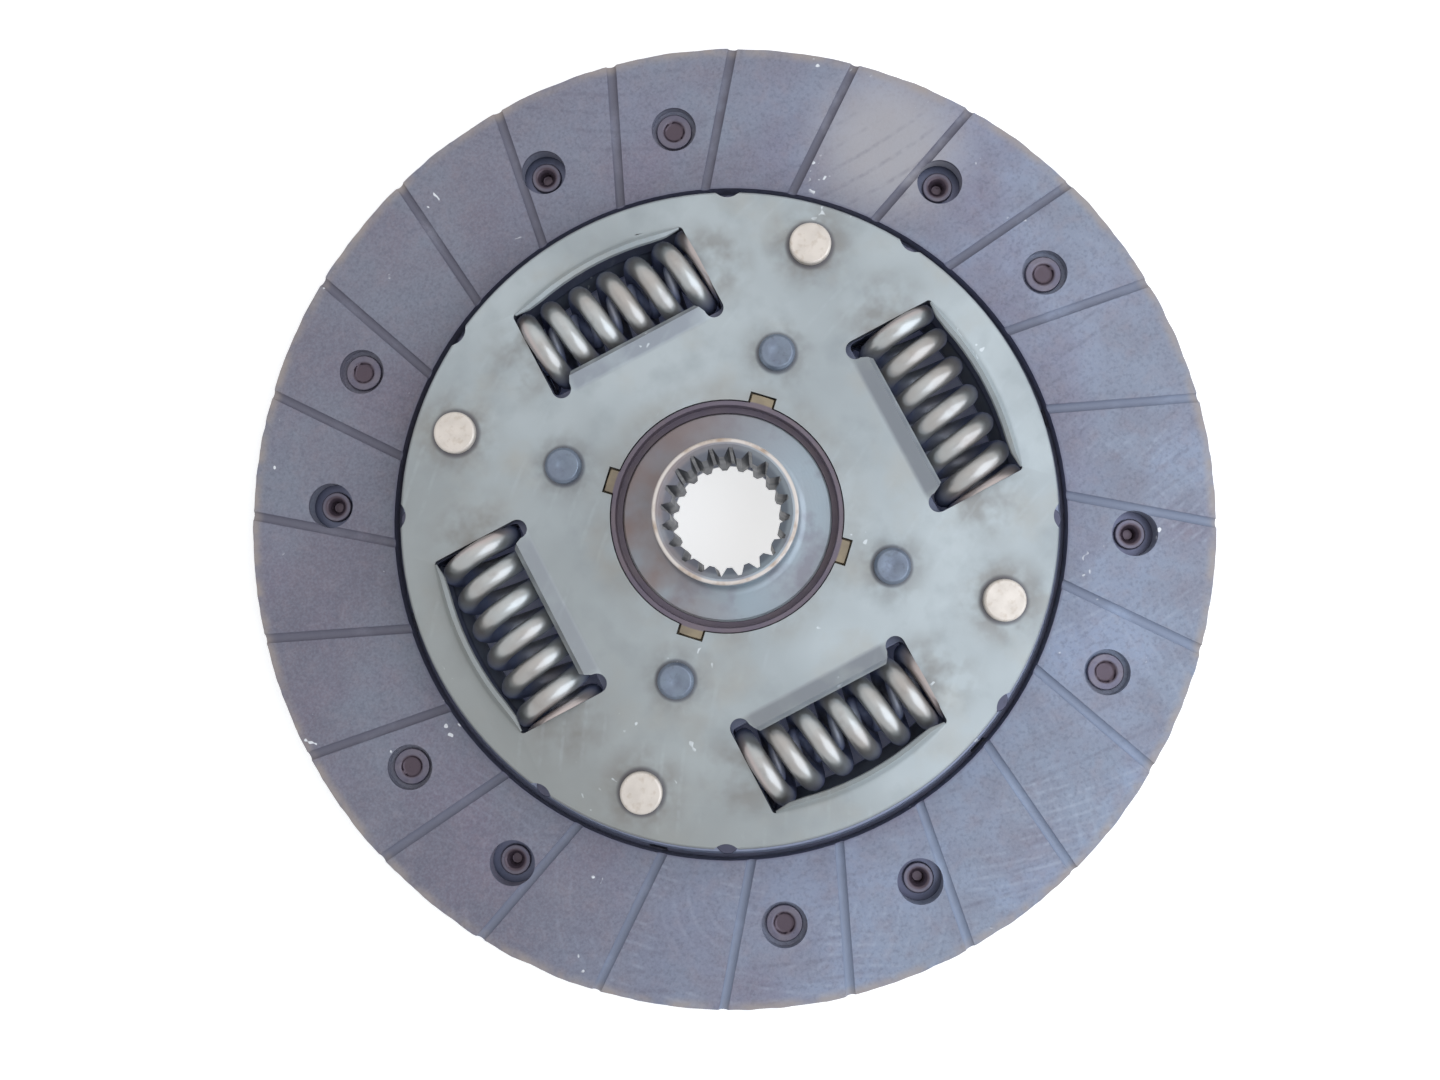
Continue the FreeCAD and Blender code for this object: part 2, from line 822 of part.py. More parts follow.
def spline_bore():
    """Cutter for the toothed bore: a drill, one groove for each tooth space, and both mouths."""
    depth = spline_root_r - spline_tip_r
    tip_half = spline_root_width / 2 + depth * math.tan(math.radians(spline_flank))
    inner_r = spline_tip_r - spline_cutter_drop
    inner_half = tip_half + (spline_tip_r - inner_r) * math.tan(math.radians(spline_flank))
    root_half = spline_root_width / 2
    space = prism(
        [
            (inner_r, -inner_half),
            (spline_root_r, -root_half),
            (spline_root_r, root_half),
            (inner_r, inner_half),
        ],
        hub_rear_lift,
        hub_front_z,
    )
    angles = [spline_start + i * 360.0 / tooth_count for i in range(tooth_count)]
    mouth_r = spline_root_r + spline_mouth
    mouth_h = mouth_r - spline_tip_r
    mouth = Part.makeCone(spline_tip_r, mouth_r, mouth_h, V(0, 0, hub_front_z - mouth_h))
    rear_mouth = Part.makeCone(mouth_r, spline_tip_r, mouth_h, V(0, 0, hub_rear_lift))
    drill = rod(spline_tip_r, hub_rear_lift, hub_front_z)
    return drill.fuse(ring_of(space, angles) + [mouth, rear_mouth])


def hub():
    """Splined hub, in one piece with its flange."""
    return hub_core().fuse(hub_flange()).cut(spline_bore()).removeSplitter()


def coil_path(od, wire, count, steps, hand):
    """Centre line of a spring along Y: a closed turn that runs past each face, open turns between."""
    closed = [wire * closed_rise] * 2
    length = spring_length + wire * (head_sink + tail_sink)
    active = (length - 2 * sum(closed)) / count
    rises = closed + [active] * count + closed
    coil_r = (od - wire) / 2
    points = [V(hand * coil_r, -spring_length / 2 - wire * head_sink, 0)]
    for i, rise in enumerate(rises):
        for k in range(steps):
            a = math.pi * (i + (k + 1) / steps)
            y = points[-1].y + rise / steps
            points.append(V(hand * coil_r * math.cos(a), y, coil_r * math.sin(a)))
    return points


def wire_section(wire, path):
    """Corners of the wire's section, square to the path's first leg."""
    along = (path[1] - path[0]).normalize()
    up = along.cross(V(1, 0, 0)).normalize()
    out = up.cross(along)
    corners = []
    for i in range(wire_sides):
        a = 2 * math.pi * (i + 0.5) / wire_sides
        corners.append(path[0] + (out * math.cos(a) + up * math.sin(a)) * (wire / 2))
    return corners


def mitred(section, path):
    """Sections along a path: each slides along its leg to the plane halfway to the next leg."""
    rings = [section]
    for i in range(1, len(path)):
        leg = (path[i] - path[i - 1]).normalize()
        after = (path[i + 1] - path[i]).normalize() if i + 1 < len(path) else leg
        normal = leg + after
        slope = leg.dot(normal)
        rings.append([p + leg * ((path[i] - p).dot(normal) / slope) for p in rings[-1]])
    return rings


def coil_spring(od, wire, count, steps, hand):
    """Flat-sided spring along Y round the origin, ends ground flat, tail towards +Y."""
    path = coil_path(od, wire, count, steps, hand)
    rings = mitred(wire_section(wire, path), path)
    outlines = [rings[0], rings[-1]]
    for near, far in zip(rings, rings[1:]):
        for i in range(wire_sides):
            j = (i + 1) % wire_sides
            outlines.append([near[i], near[j], far[j], far[i]])
    shell = Part.makeShell([Part.Face(Part.makePolygon(o + o[:1])) for o in outlines])
    shell.sewShape()
    slab = Part.makeBox(2 * od, spring_length, 2 * od, V(-od, -spring_length / 2, -od))
    return Part.Solid(shell).common(slab)


def placed_spring(shape, index):
    """Spring moved into its window, with its tail towards the side that window has it."""
    copy = shape.copy()
    if tail_sides[index] < 0:
        copy.rotate(ORIGIN, UP, 180)
    copy.translate(V(spring_circle_r, 0, mid_z))
    return spun(copy, window_angles[index])


def write(name, shapes):
    """One STEP file for each named piece or group of like pieces."""
    shape = Part.makeCompound(shapes) if isinstance(shapes, list) else shapes
    shape.exportStep("parts/" + name + ".step")


def main():
    """Build every piece and write it."""
    os.makedirs("parts", exist_ok=True)
    front_seat_z = front_lining_z + lining_seat_t
    rear_seat_z = lining_t - lining_seat_t
    write("front_lining", front_lining())
    write("rear_lining", rear_lining())
    write("front_lining_rivets", lining_rivets(front_seat_z, cushion_high_z, 1, front_rivet_angles))
    write(
        "rear_lining_rivets",
        lining_rivets(rear_seat_z, cushion_low_z + cushion_t, -1, rear_rivet_angles),
    )
    write("cushion_plate", cushion_plate())
    write("cushion_rivets", cushion_rivets())
    write("drive_plate", drive_plate())
    write("retainer_plate", retainer_plate())
    write("stop_pins", stop_pins())
    write("ring_rivets", ring_rivets())
    write("bush_ring", bush_ring())
    write("front_bush", front_bush())
    write("rear_bush", rear_bush())
    write("thrust_washer", thrust_washer())
    write("disc_spring", disc_spring())
    write("hub", hub())
    outer = coil_spring(spring_od, wire_d, active_half_turns, coil_steps, -1)
    inner = coil_spring(
        inner_spring_od,
        inner_wire_d,
        inner_active_half_turns,
        inner_coil_steps,
        1,
    )
    for i in range(window_count):
        write("damper_spring_" + str(i + 1), placed_spring(outer, i))
        if i % 2 == 1:
            write("inner_spring_" + str(i + 1), placed_spring(inner, i))


main()
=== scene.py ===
# %% [markdown]
# # Dressing a clutch disc
# The solid model of the disc comes in as a fixed frame: every plate, rivet, spring and the hub is
# already in its place, in metres. This notebook adds what the frame can't carry: round spring
# wire, eased edges, chipped rims, and the finishes of steel, resin and friction material.

# %% Load the frame
import math

import bpy
from mathutils import Matrix, Vector


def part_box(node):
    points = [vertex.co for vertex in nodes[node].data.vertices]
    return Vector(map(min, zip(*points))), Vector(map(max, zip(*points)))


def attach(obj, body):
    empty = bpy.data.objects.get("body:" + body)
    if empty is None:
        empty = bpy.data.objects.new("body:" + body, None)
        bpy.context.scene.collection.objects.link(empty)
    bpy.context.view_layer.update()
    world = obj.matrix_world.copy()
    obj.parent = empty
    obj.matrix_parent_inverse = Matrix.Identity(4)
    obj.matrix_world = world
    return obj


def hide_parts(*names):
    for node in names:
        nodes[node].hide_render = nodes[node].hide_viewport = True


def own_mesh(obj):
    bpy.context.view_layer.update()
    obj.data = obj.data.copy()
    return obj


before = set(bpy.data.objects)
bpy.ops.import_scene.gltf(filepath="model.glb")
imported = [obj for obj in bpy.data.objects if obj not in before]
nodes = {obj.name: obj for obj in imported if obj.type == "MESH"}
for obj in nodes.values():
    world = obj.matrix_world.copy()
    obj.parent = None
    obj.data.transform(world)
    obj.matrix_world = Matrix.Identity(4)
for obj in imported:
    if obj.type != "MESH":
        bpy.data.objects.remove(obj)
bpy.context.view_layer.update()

scene = bpy.context.scene
MM = 0.001
LINING_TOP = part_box("front_lining")[1].z

# %% [markdown]
# ## Camera
# The disc was seen almost straight from above, a little off square, with its first spring window
# turned 28 degrees up from the picture's right. The lens is a 30 mm one on a 36 mm sensor. The
# camera could be placed by eye, but its place follows from one rotation and one shift, found by
# setting the rims and the hole of the model over the same rims in the picture.

# %% Camera
PICTURE_TURN = math.radians(28.0)
TILT_X = math.radians(-3.13)
TILT_Y = math.radians(-1.97)
CAMERA_DISTANCE = 0.24926
CAMERA_SHIFT = (0.00167, 0.0043)

tilt = Matrix.Rotation(TILT_Y, 4, "Y") @ Matrix.Rotation(TILT_X, 4, "X")
disc_in_picture = Matrix.Translation((*CAMERA_SHIFT, -CAMERA_DISTANCE)) @ tilt
disc_in_picture = disc_in_picture @ Matrix.Translation((0, 0, -LINING_TOP))
disc_in_picture = disc_in_picture @ Matrix.Rotation(PICTURE_TURN, 4, "Z")

lens = bpy.data.cameras.new("picture_camera")
lens.lens = 30.0
lens.sensor_width = 36.0
lens.clip_start = 0.01
camera = bpy.data.objects.new("picture_camera", lens)
scene.collection.objects.link(camera)
camera.matrix_world = disc_in_picture.inverted()
scene.camera = camera
scene.view_settings.view_transform = "Standard"
print("camera at", [round(v, 4) for v in camera.location])

# %% [markdown]
# ## Colours and nodes
# Colours are written as sRGB hex codes, as a paint shop would, and turned to the linear values
# that the renderer works in. Every finish is a small tree of nodes, so one helper adds a node,
# sets it up and links its inputs.

# %% Colour and node helpers
def colour(code):
    """Linear red, green, blue and alpha from an sRGB hex code."""
    parts = [int(code[i:i + 2], 16) / 255 for i in (1, 3, 5)]
    return tuple(c / 12.92 if c <= 0.04045 else ((c + 0.055) / 1.055) ** 2.4 for c in parts) + (1.0,)


def add_node(tree, kind, inputs=None, **settings):
    """Add a node: settings are its own values, inputs are numbers or other nodes' sockets."""
    node = tree.nodes.new(kind)
    for name, value in settings.items():
        setattr(node, name, value)
    for name, value in (inputs or {}).items():
        if isinstance(value, bpy.types.NodeSocket):
            tree.links.new(value, node.inputs[name])
        else:
            node.inputs[name].default_value = value
    return node


def per_mm(size):
    """Scale of a pattern whose features are that many millimetres across."""
    return 1000.0 / size


print("steel grey in linear light:", [round(c, 3) for c in colour("#9fa5a9")[:3]])

# %% [markdown]
# ## Lamps and world
# The picture was lit softly, with a window to its right: every wire and bend has its bright side
# there. One broad lamp stands in for that window, a wider and weaker one fills the top, and a
# pale world does the rest. A picture of a real room could light the scene too, but two lamps are
# enough for so soft a light. The world is white to the camera and in reflections, and softer for
# the light that it gives.

# %% Lamps and world
WORLD_LIGHT = 0.68


def add_lamp(name, turn, height, distance, size, power, tint):
    """Square lamp round the disc, turned as seen in the picture and aimed at the hub."""
    data = bpy.data.lights.new(name, "AREA")
    data.size = size
    data.energy = power
    data.color = colour(tint)[:3]
    lamp = bpy.data.objects.new(name, data)
    scene.collection.objects.link(lamp)
    around = math.radians(turn) - PICTURE_TURN
    rise = math.radians(height)
    out = Vector((math.cos(around) * math.cos(rise), math.sin(around) * math.cos(rise), math.sin(rise)))
    lamp.location = out * distance
    lamp.rotation_euler = out.to_track_quat("Z", "Y").to_euler()


def backdrop_rays(tree):
    """Share that is 1 for camera rays and for rays that come off metal or through glass."""
    rays = add_node(tree, "ShaderNodeLightPath").outputs
    share = rays["Is Camera Ray"]
    for name in ("Is Glossy Ray", "Is Transmission Ray"):
        share = add_node(tree, "ShaderNodeMath", {0: share, 1: rays[name]}, operation="MAXIMUM").outputs[0]
    return share


add_lamp("window_light", turn=-12, height=46, distance=0.42, size=0.5, power=1.3, tint="#e9f3ff")
add_lamp("fill_light", turn=100, height=62, distance=0.75, size=0.9, power=0.7, tint="#fff6ef")

world = bpy.data.worlds.new("studio")
world.use_nodes = True
scene.world = world
sky = world.node_tree
soft = sky.nodes["Background"]
soft.inputs["Color"].default_value = colour("#eef1f4")
soft.inputs["Strength"].default_value = WORLD_LIGHT
white = add_node(sky, "ShaderNodeBackground", {"Color": (1, 1, 1, 1), "Strength": 1.0})
choice = add_node(sky, "ShaderNodeMixShader", {
    0: backdrop_rays(sky),
    1: soft.outputs[0],
    2: white.outputs[0],
})
sky.links.new(choice.outputs[0], sky.nodes["World Output"].inputs["Surface"])

# %% [markdown]
# ## Floor
# The floor is white paper that glows to the camera and in reflections, as the world does. Under
# the disc a real floor gets hardly any light, and the gaps between the springs look deep, hazy
# and blue in the picture. So the glow is dimmer and bluer in a ring under the disc. Down the bore
# it is stronger, since the bore's wall keeps the lamps off that bit of floor.

# %% Floor
FLOOR_GLOW = 0.45
UNDER_DISC_SHADE_GLOW = 0.6
BORE_GLOW = 1.5
BORE_EDGE = 12
DISC_EDGE = 97


def floor_paper():
    """White paper whose glow depends on how far it is from the disc's axis."""
    paper = bpy.data.materials.new("white_paper")
    paper.use_nodes = True
    tree = paper.node_tree
    matt = tree.nodes["Principled BSDF"]
    matt.inputs["Base Color"].default_value = colour("#f4f4f4")
    matt.inputs["Roughness"].default_value = 0.9
    spot = add_node(tree, "ShaderNodeTexCoord").outputs["Object"]
    away = add_node(tree, "ShaderNodeVectorMath", {0: spot}, operation="LENGTH").outputs["Value"]
    past_disc = add_node(tree, "ShaderNodeMath", {0: away, 1: DISC_EDGE * MM}, operation="GREATER_THAN")
    down_bore = add_node(tree, "ShaderNodeMath", {0: away, 1: BORE_EDGE * MM}, operation="LESS_THAN")
    in_bore = down_bore.outputs[0]
    lit = add_node(tree, "ShaderNodeMath", {
        0: in_bore,
        1: past_disc.outputs[0],
    }, operation="MAXIMUM").outputs[0]
    # Painted shade: under the disc the floor glows a dim blue grey instead of white, standing in for the
    # hazy shade between the springs.
    tint = add_node(tree, "ShaderNodeMix", {
        0: lit,
        6: colour("#464c68"),
        7: colour("#ffffff"),
    }, data_type="RGBA")
    tree.links.new(tint.outputs[2], matt.inputs["Emission Color"])
    level = add_node(tree, "ShaderNodeMapRange", {"Value": lit, "To Min": UNDER_DISC_SHADE_GLOW}).outputs[0]
    level = add_node(tree, "ShaderNodeMath", {
        0: in_bore,
        1: BORE_GLOW - 1.0,
        2: level,
    }, operation="MULTIPLY_ADD").outputs[0]
    seen = add_node(tree, "ShaderNodeMath", {0: backdrop_rays(tree), 1: level}, operation="MULTIPLY")
    glow = add_node(tree, "ShaderNodeMath", {0: seen.outputs[0], 1: FLOOR_GLOW}, operation="MULTIPLY")
    tree.links.new(glow.outputs[0], matt.inputs["Emission Strength"])
    return paper


bpy.ops.mesh.primitive_plane_add(size=6)
floor = bpy.context.object
floor.name = "floor"
floor.data.materials.append(floor_paper())
print("floor:", floor.dimensions[:2], "m")

# %% [markdown]
# ## Clouds
# A finish is a base colour with layers over it: dust, stains, scratches, wear. Each layer has a
# share from 0 to 1 that says where it lies. A painted image could hold the shares, but it would
# have to be wrapped round every piece. Noise on the object's own coordinates needs no wrapping,
# and its scale is set from a real size. All sizes in the finishes are in millimetres. Only a
# shift is in metres: it picks another part of the noise, so that no two layers are alike.

# %% Clouds
def start_material(name, roughness, metallic=0.0):
    """A new material with its node tree, object coordinates and main shader."""
    material = bpy.data.materials.new(name)
    material.use_nodes = True
    tree = material.node_tree
    shader = tree.nodes["Principled BSDF"]
    shader.inputs["Roughness"].default_value = roughness
    shader.inputs["Metallic"].default_value = metallic
    place = add_node(tree, "ShaderNodeTexCoord").outputs["Object"]
    return material, tree, place, shader


def cloud(tree, place, size, low, high, least=0.0, most=1.0, detail=3.0, shift=(0, 0, 0)):
    """Noise with features of a size, stretched so that low gives least and high gives most."""
    moved = add_node(tree, "ShaderNodeMapping", {"Vector": place, "Location": shift})
    noise = add_node(tree, "ShaderNodeTexNoise", {
        "Vector": moved.outputs[0],
        "Scale": per_mm(size),
        "Detail": detail,
    })
    return add_node(tree, "ShaderNodeMapRange", {
        "Value": noise.outputs["Fac"],
        "From Min": low,
        "From Max": high,
        "To Min": least,
        "To Max": most,
    }).outputs[0]


def broken(tree, place, share, size, low, high, shift=(0, 0, 0)):
    """A share broken up by clouds."""
    holes = cloud(tree, place, size, low, high, shift=shift)
    return add_node(tree, "ShaderNodeMath", {0: share, 1: holes}, operation="MULTIPLY").outputs[0]


print("scale of clouds 10 mm across:", per_mm(10))

# %% [markdown]
# ## Places
# Dirt gathers round rivet heads, rims wear, and one side of the disc is turned to the window.
# These layers lie at known places, so three more helpers work out a share from the place alone:
# round patches, a fade with distance from the disc's axis, and a slope along a direction.

# %% Places on the disc
def patches(tree, place, spots, size, edge, most=1.0):
    """Share round spots on the disc, each a radius and an angle: full to a size, gone over an edge."""
    flat = add_node(tree, "ShaderNodeVectorMath", {0: place, 1: (1, 1, 0)}, operation="MULTIPLY").outputs[0]
    nearest = 1.0
    for radius, degrees in spots:
        turn = math.radians(degrees)
        centre = (radius * MM * math.cos(turn), radius * MM * math.sin(turn), 0)
        gap = add_node(tree, "ShaderNodeVectorMath", {0: flat, 1: centre}, operation="DISTANCE")
        closer = add_node(tree, "ShaderNodeMath", {0: gap.outputs["Value"], 1: nearest}, operation="MINIMUM")
        nearest = closer.outputs[0]
    return add_node(tree, "ShaderNodeMapRange", {
        "Value": nearest,
        "From Min": size * MM,
        "From Max": (size + edge) * MM,
        "To Min": most,
        "To Max": 0.0,
    }, interpolation_type="SMOOTHSTEP").outputs[0]


def reach(tree, place, near, far, most=1.0):
    """Share that grows between two distances from the disc's axis."""
    flat = add_node(tree, "ShaderNodeVectorMath", {0: place, 1: (1, 1, 0)}, operation="MULTIPLY").outputs[0]
    length = add_node(tree, "ShaderNodeVectorMath", {0: flat}, operation="LENGTH")
    return add_node(tree, "ShaderNodeMapRange", {
        "Value": length.outputs["Value"],
        "From Min": near * MM,
        "From Max": far * MM,
        "To Max": most,
    }, interpolation_type="SMOOTHSTEP").outputs[0]


def slope(tree, place, direction, near, far, most=1.0):
    """Share that grows along a direction in space, between two distances from the origin."""
    along = add_node(tree, "ShaderNodeVectorMath", {0: place, 1: direction}, operation="DOT_PRODUCT")
    return add_node(tree, "ShaderNodeMapRange", {
        "Value": along.outputs["Value"],
        "From Min": near * MM,
        "From Max": far * MM,
        "To Max": most,
    }).outputs[0]


def in_picture(degrees):
    """Direction in the disc's plane, from its angle in the picture."""
    turn = math.radians(degrees) - PICTURE_TURN
    return (math.cos(turn), math.sin(turn), 0)


UP = (0, 0, 1)
PICTURE_RIGHT = in_picture(0)
LOWER_RIGHT = in_picture(-42)
LOWER_LEFT = in_picture(-130)
print("picture right:", [round(c, 2) for c in PICTURE_RIGHT])

# %% [markdown]
# ## Scratches
# Grinding and handling leave sets of fine lines that curve together. Each line could be drawn by
# itself, but there are hundreds. The rings of a wave texture, bent a little and shown only in
# patches, look the same and take one node.

# %% Scratches
# The wave texture turns through 20 radians in each unit of length.
WAVE_STEP = 2 * math.pi / 20
SCRATCH_PATCH = 16
SCRATCH_BREAK = 1.7


def scratches(tree, place, centre, spacing, thin, most, shift=(0, 0, 0), where=1.0):
    """Share on fine lines that curve round a centre, in patches a few centimetres across."""
    moved = add_node(tree, "ShaderNodeMapping", {
        "Vector": place,
        "Location": (-centre[0] * MM, -centre[1] * MM, 0),
    })
    wave = add_node(tree, "ShaderNodeTexWave", {
        "Vector": moved.outputs[0],
        "Scale": per_mm(spacing) * WAVE_STEP,
        "Distortion": 5.0,
        "Detail": 2.0,
        "Detail Scale": 0.12,
    }, wave_type="RINGS", rings_direction="Z")
    lines = add_node(tree, "ShaderNodeMapRange", {
        "Value": wave.outputs["Fac"],
        "From Min": 1.0 - thin,
        "From Max": 1.0,
        "To Max": most,
    }).outputs[0]
    lines = add_node(tree, "ShaderNodeMath", {0: lines, 1: where}, operation="MULTIPLY").outputs[0]
    lines = broken(tree, place, lines, SCRATCH_PATCH, 0.5, 0.6, shift)
    return broken(tree, place, lines, SCRATCH_BREAK, 0.35, 0.6)


print("wave scale for lines 2 mm apart:", round(per_mm(2) * WAVE_STEP, 1))

# %% [markdown]
# ## Paint, relief and gloss
# Three helpers bring the shares to the shader: colours laid one over another, a relief of bumps
# and dents with their depth, and a roughness that wanders between two values, since nothing that
# was handled is equally dull all over.

# %% Layers on the shader
def paint(tree, shader, base, layers):
    """Lay colours over a base, each by its share, and give the result to the shader."""
    under = colour(base)
    for share, code in layers:
        under = add_node(tree, "ShaderNodeMix", {
            0: share,
            6: under,
            7: colour(code),
        }, data_type="RGBA").outputs[2]
    tree.links.new(under, shader.inputs["Base Color"])


def emboss(tree, shader, heights):
    """Raise the surface by shares, each with its height in millimetres; a negative one is a dent."""
    under = None
    for share, height in heights:
        inputs = {"Height": share, "Distance": abs(height) * MM, "Strength": 0.5}
        if under:
            inputs["Normal"] = under
        under = add_node(tree, "ShaderNodeBump", inputs, invert=height < 0).outputs[0]
    tree.links.new(under, shader.inputs["Normal"])


def vary_gloss(tree, place, shader, size, smooth, rough):
    """Let the roughness wander between two values in clouds of a size."""
    tree.links.new(cloud(tree, place, size, 0.3, 0.7, smooth, rough), shader.inputs["Roughness"])


print("helpers: paint, emboss, vary_gloss")

# %% [markdown]
# ## Friction material
# The linings are moulded from glass and mineral fibre, brass chips and phenolic resin, then
# ground flat. The eye sees a dull purple grey, cloudy over centimetres, with a fine grain, a few
# pale specks and sets of fine curved scuffs. The side towards the window is painted lighter and
# bluer, and the far side darker, as painted light and shade; the scuffs are painted pale only on
# the lit side, as a painted highlight where they catch the light. One patch is rubbed pale. The
# moulded groove floors were never ground, so they are plain; they are painted darker as painted
# shade, and pale blue on the lit side as painted light. The inner edge is painted darker and
# bluer as painted shade. The outer rim has a thin tan line of wear.
# Grain and specks are drawn about 0.5 mm across, coarser than real ones, so that they show.
# It is one base colour with shares laid over it: clouds, slopes, scratches and a patch.

# %% Friction material
LINING_MIDDLE = LINING_TOP / MM / 2
GROOVE_LEVEL = 3.71
GROOVE_BAND = 0.28
RUBBED_PATCH = [(86, 39)]
WORN_RIM = (97.6, 99.8)
INNER_RIM_SHADE = (70.6, 70.1)


def friction_material():
    """Moulded friction lining, ground flat and a little used."""
    material, tree, place, shader = start_material("moulded_friction_lining", 0.6)
    height = add_node(tree, "ShaderNodeSeparateXYZ", {0: place}).outputs["Z"]
    off = add_node(tree, "ShaderNodeMath", {0: height, 1: LINING_MIDDLE * MM}, operation="SUBTRACT")
    far = add_node(tree, "ShaderNodeMath", {0: off.outputs[0]}, operation="ABSOLUTE").outputs[0]
    in_groove = add_node(tree, "ShaderNodeMath", {
        0: far,
        1: GROOVE_LEVEL * MM,
        2: GROOVE_BAND * MM,
    }, operation="COMPARE").outputs[0]
    grain = cloud(tree, place, 0.5, 0.36, 0.66, most=0.22, detail=2.0)
    specks = cloud(tree, place, 1.3, 0.73, 0.76, detail=0.0, shift=(0.5, 0, 0))
    # The scuffs are real marks. Painting them pale only on the side towards the window is a painted
    # highlight where they catch the light.
    scuffs_where_lit = slope(tree, place, LOWER_RIGHT, -30, 60)
    lines = scratches(tree, place, (60, 45), spacing=2.1, thin=0.4, most=0.32, where=scuffs_where_lit)
    cross = scratches(tree, place, (-30, -70), 3.1, thin=0.3, most=0.2, shift=(0.3, 0.1, 0), where=scuffs_where_lit)
    dark_lines = scratches(tree, place, (60, 170), 3.9, thin=0.16, most=0.3, shift=(0.2, 0.6, 0))
    # Painted shade darkens the groove floors, and painted light makes them pale blue towards the window.
    shaded_floor = broken(tree, place, in_groove, 9, 0.25, 0.5, (0.7, 0, 0))
    lit_floor = add_node(tree, "ShaderNodeMath", {
        0: in_groove,
        1: slope(tree, place, LOWER_RIGHT, -20, 85, 0.45),
    }, operation="MULTIPLY").outputs[0]
    paint(tree, shader, "#716e7c", [
        # Painted light and shade: lighter and bluer towards the window, darker on the far side.
        (slope(tree, place, PICTURE_RIGHT, -70, 70), "#8d95ac"),
        (slope(tree, place, LOWER_LEFT, 25, 95, 0.65), "#625e6c"),
        (slope(tree, place, LOWER_RIGHT, 25, 95, 0.7), "#8d9cb7"),
        (cloud(tree, place, 30, 0.42, 0.62, most=0.6), "#7d8492"),
        (cloud(tree, place, 20, 0.52, 0.7, most=0.5, shift=(0.5, 0.5, 0)), "#75687a"),
        (cloud(tree, place, 9, 0.45, 0.75, most=0.5, detail=4.0, shift=(0.2, 0, 0)), "#6f6a78"),
        (cloud(tree, place, 14, 0.5, 0.75, most=0.5, detail=4.0, shift=(0, 0.8, 0)), "#77707c"),
        (cloud(tree, place, 3, 0.5, 0.8, most=0.4, shift=(0, 0.4, 0)), "#8a7f88"),
        (grain, "#9a9fae"),
        (cloud(tree, place, 0.7, 0.5, 0.75, most=0.35, detail=1.0, shift=(0, 0, 0.3)), "#575b6c"),
        (patches(tree, place, RUBBED_PATCH, 5, 17, 0.75), "#aeaaac"),
        (lines, "#aab2c2"),
        (cross, "#a7afc0"),
        (dark_lines, "#5b5a6b"),
        (shaded_floor, "#646371"),
        (lit_floor, "#9fb0cb"),
        (broken(tree, place, reach(tree, place, *WORN_RIM, 0.7), 5, 0.3, 0.6), "#a2968e"),
        # Painted shade: the inner edge of the lining, deep beside the retainer, is painted darker and bluer.
        (reach(tree, place, *INNER_RIM_SHADE, 0.6), "#6c6c82"),
        (broken(tree, place, specks, 11, 0.65, 0.68, (0.5, 0.5, 0)), "#e4e6ea"),
    ])
    vary_gloss(tree, place, shader, 12, 0.48, 0.66)
    emboss(tree, shader, [(grain, 0.12), (lines, -0.05), (cross, -0.05)])
    return material


lining_finish = friction_material()
print("friction material nodes:", len(lining_finish.node_tree.nodes))

# %% [markdown]
# ## Pressed steel
# Both plates are stamped from sheet steel and left in the grey that heat treatment gives, with a
# film of oil. A mirror-like metal would be wrong: the eye sees satin, softly cloudy grey with a
# green cast, and brown stains where oil and dust stayed round the pins, the rivets and the window
# ends. The stains are patches at those places, broken up by clouds. Painted shade lies over them:
# a dark line where a head meets the sheet, dark walls below the retainer's face, and a darker
# side away from the window.

# %% Pressed steel
WINDOW_ANGLES = [0, 90, 180, 270]
DIAGONALS = [45, 135, 225, 315]
PIN_SPOTS = [(57.3, angle) for angle in DIAGONALS]
RING_RIVET_SPOTS = [(34.3, angle) for angle in DIAGONALS]
WINDOW_ENDS = [(51.5, angle + side * 24) for angle in WINDOW_ANGLES for side in (-1, 1)]


def pressed_steel(name, base, light, layers_of):
    """Stamped and heat treated sheet, satin, with the layers that one plate has of its own."""
    material, tree, place, shader = start_material(name, 0.5, 0.3)
    lines = scratches(tree, place, (90, -120), 4.1, thin=0.14, most=0.12, shift=(0.4, 0, 0))
    specks = cloud(tree, place, 1.2, 0.72, 0.76, most=0.6, detail=0.0, shift=(0.1, 0.9, 0))
    layers = [
        (cloud(tree, place, 26, 0.35, 0.68), light),
        (cloud(tree, place, 7, 0.5, 0.8, most=0.45, detail=4.0), "#858c90"),
        (cloud(tree, place, 11, 0.52, 0.75, most=0.4, detail=4.0, shift=(0.2, 0.4, 0)), "#a39c90"),
    ]
    layers += layers_of(tree, place)
    layers += [
        (lines, "#bcc5ca"),
        (broken(tree, place, specks, 12, 0.64, 0.67), "#dfe4e8"),
    ]
    paint(tree, shader, base, layers)
    vary_gloss(tree, place, shader, 9, 0.42, 0.56)
    emboss(tree, shader, [(cloud(tree, place, 0.5, 0.3, 0.7), 0.01), (lines, -0.02)])
    return material


print("stain patches:", len(PIN_SPOTS) + len(RING_RIVET_SPOTS) + len(WINDOW_ENDS))

# %% [markdown]
# ## Two plates, two sets of marks
# The retainer faces out and has all the stains. The tall inner lips of its windows are painted a
# darker, cooler grey, as painted shade on their slopes. The drive plate's front face looks at the
# springs, out of reach of light and hand: it is painted a dark blue grey, partly oil and dust and
# partly painted shade, and its rim is painted paler as painted fill light. One function makes both
# finishes, and each plate gives it a list of its own layers.

# %% Retainer and drive plate
LIP_INNER = 36.4
LIP_OUTER = 40.7
LIP_HALF = 15.8
BELOW_FACE_SHADE = (17.5, 17.1)
DRIVE_FRONT_SHADE_AND_DUST = (6.0, 6.4)
DRIVE_RIM_FILL_LIGHT = (66.0, 66.5)


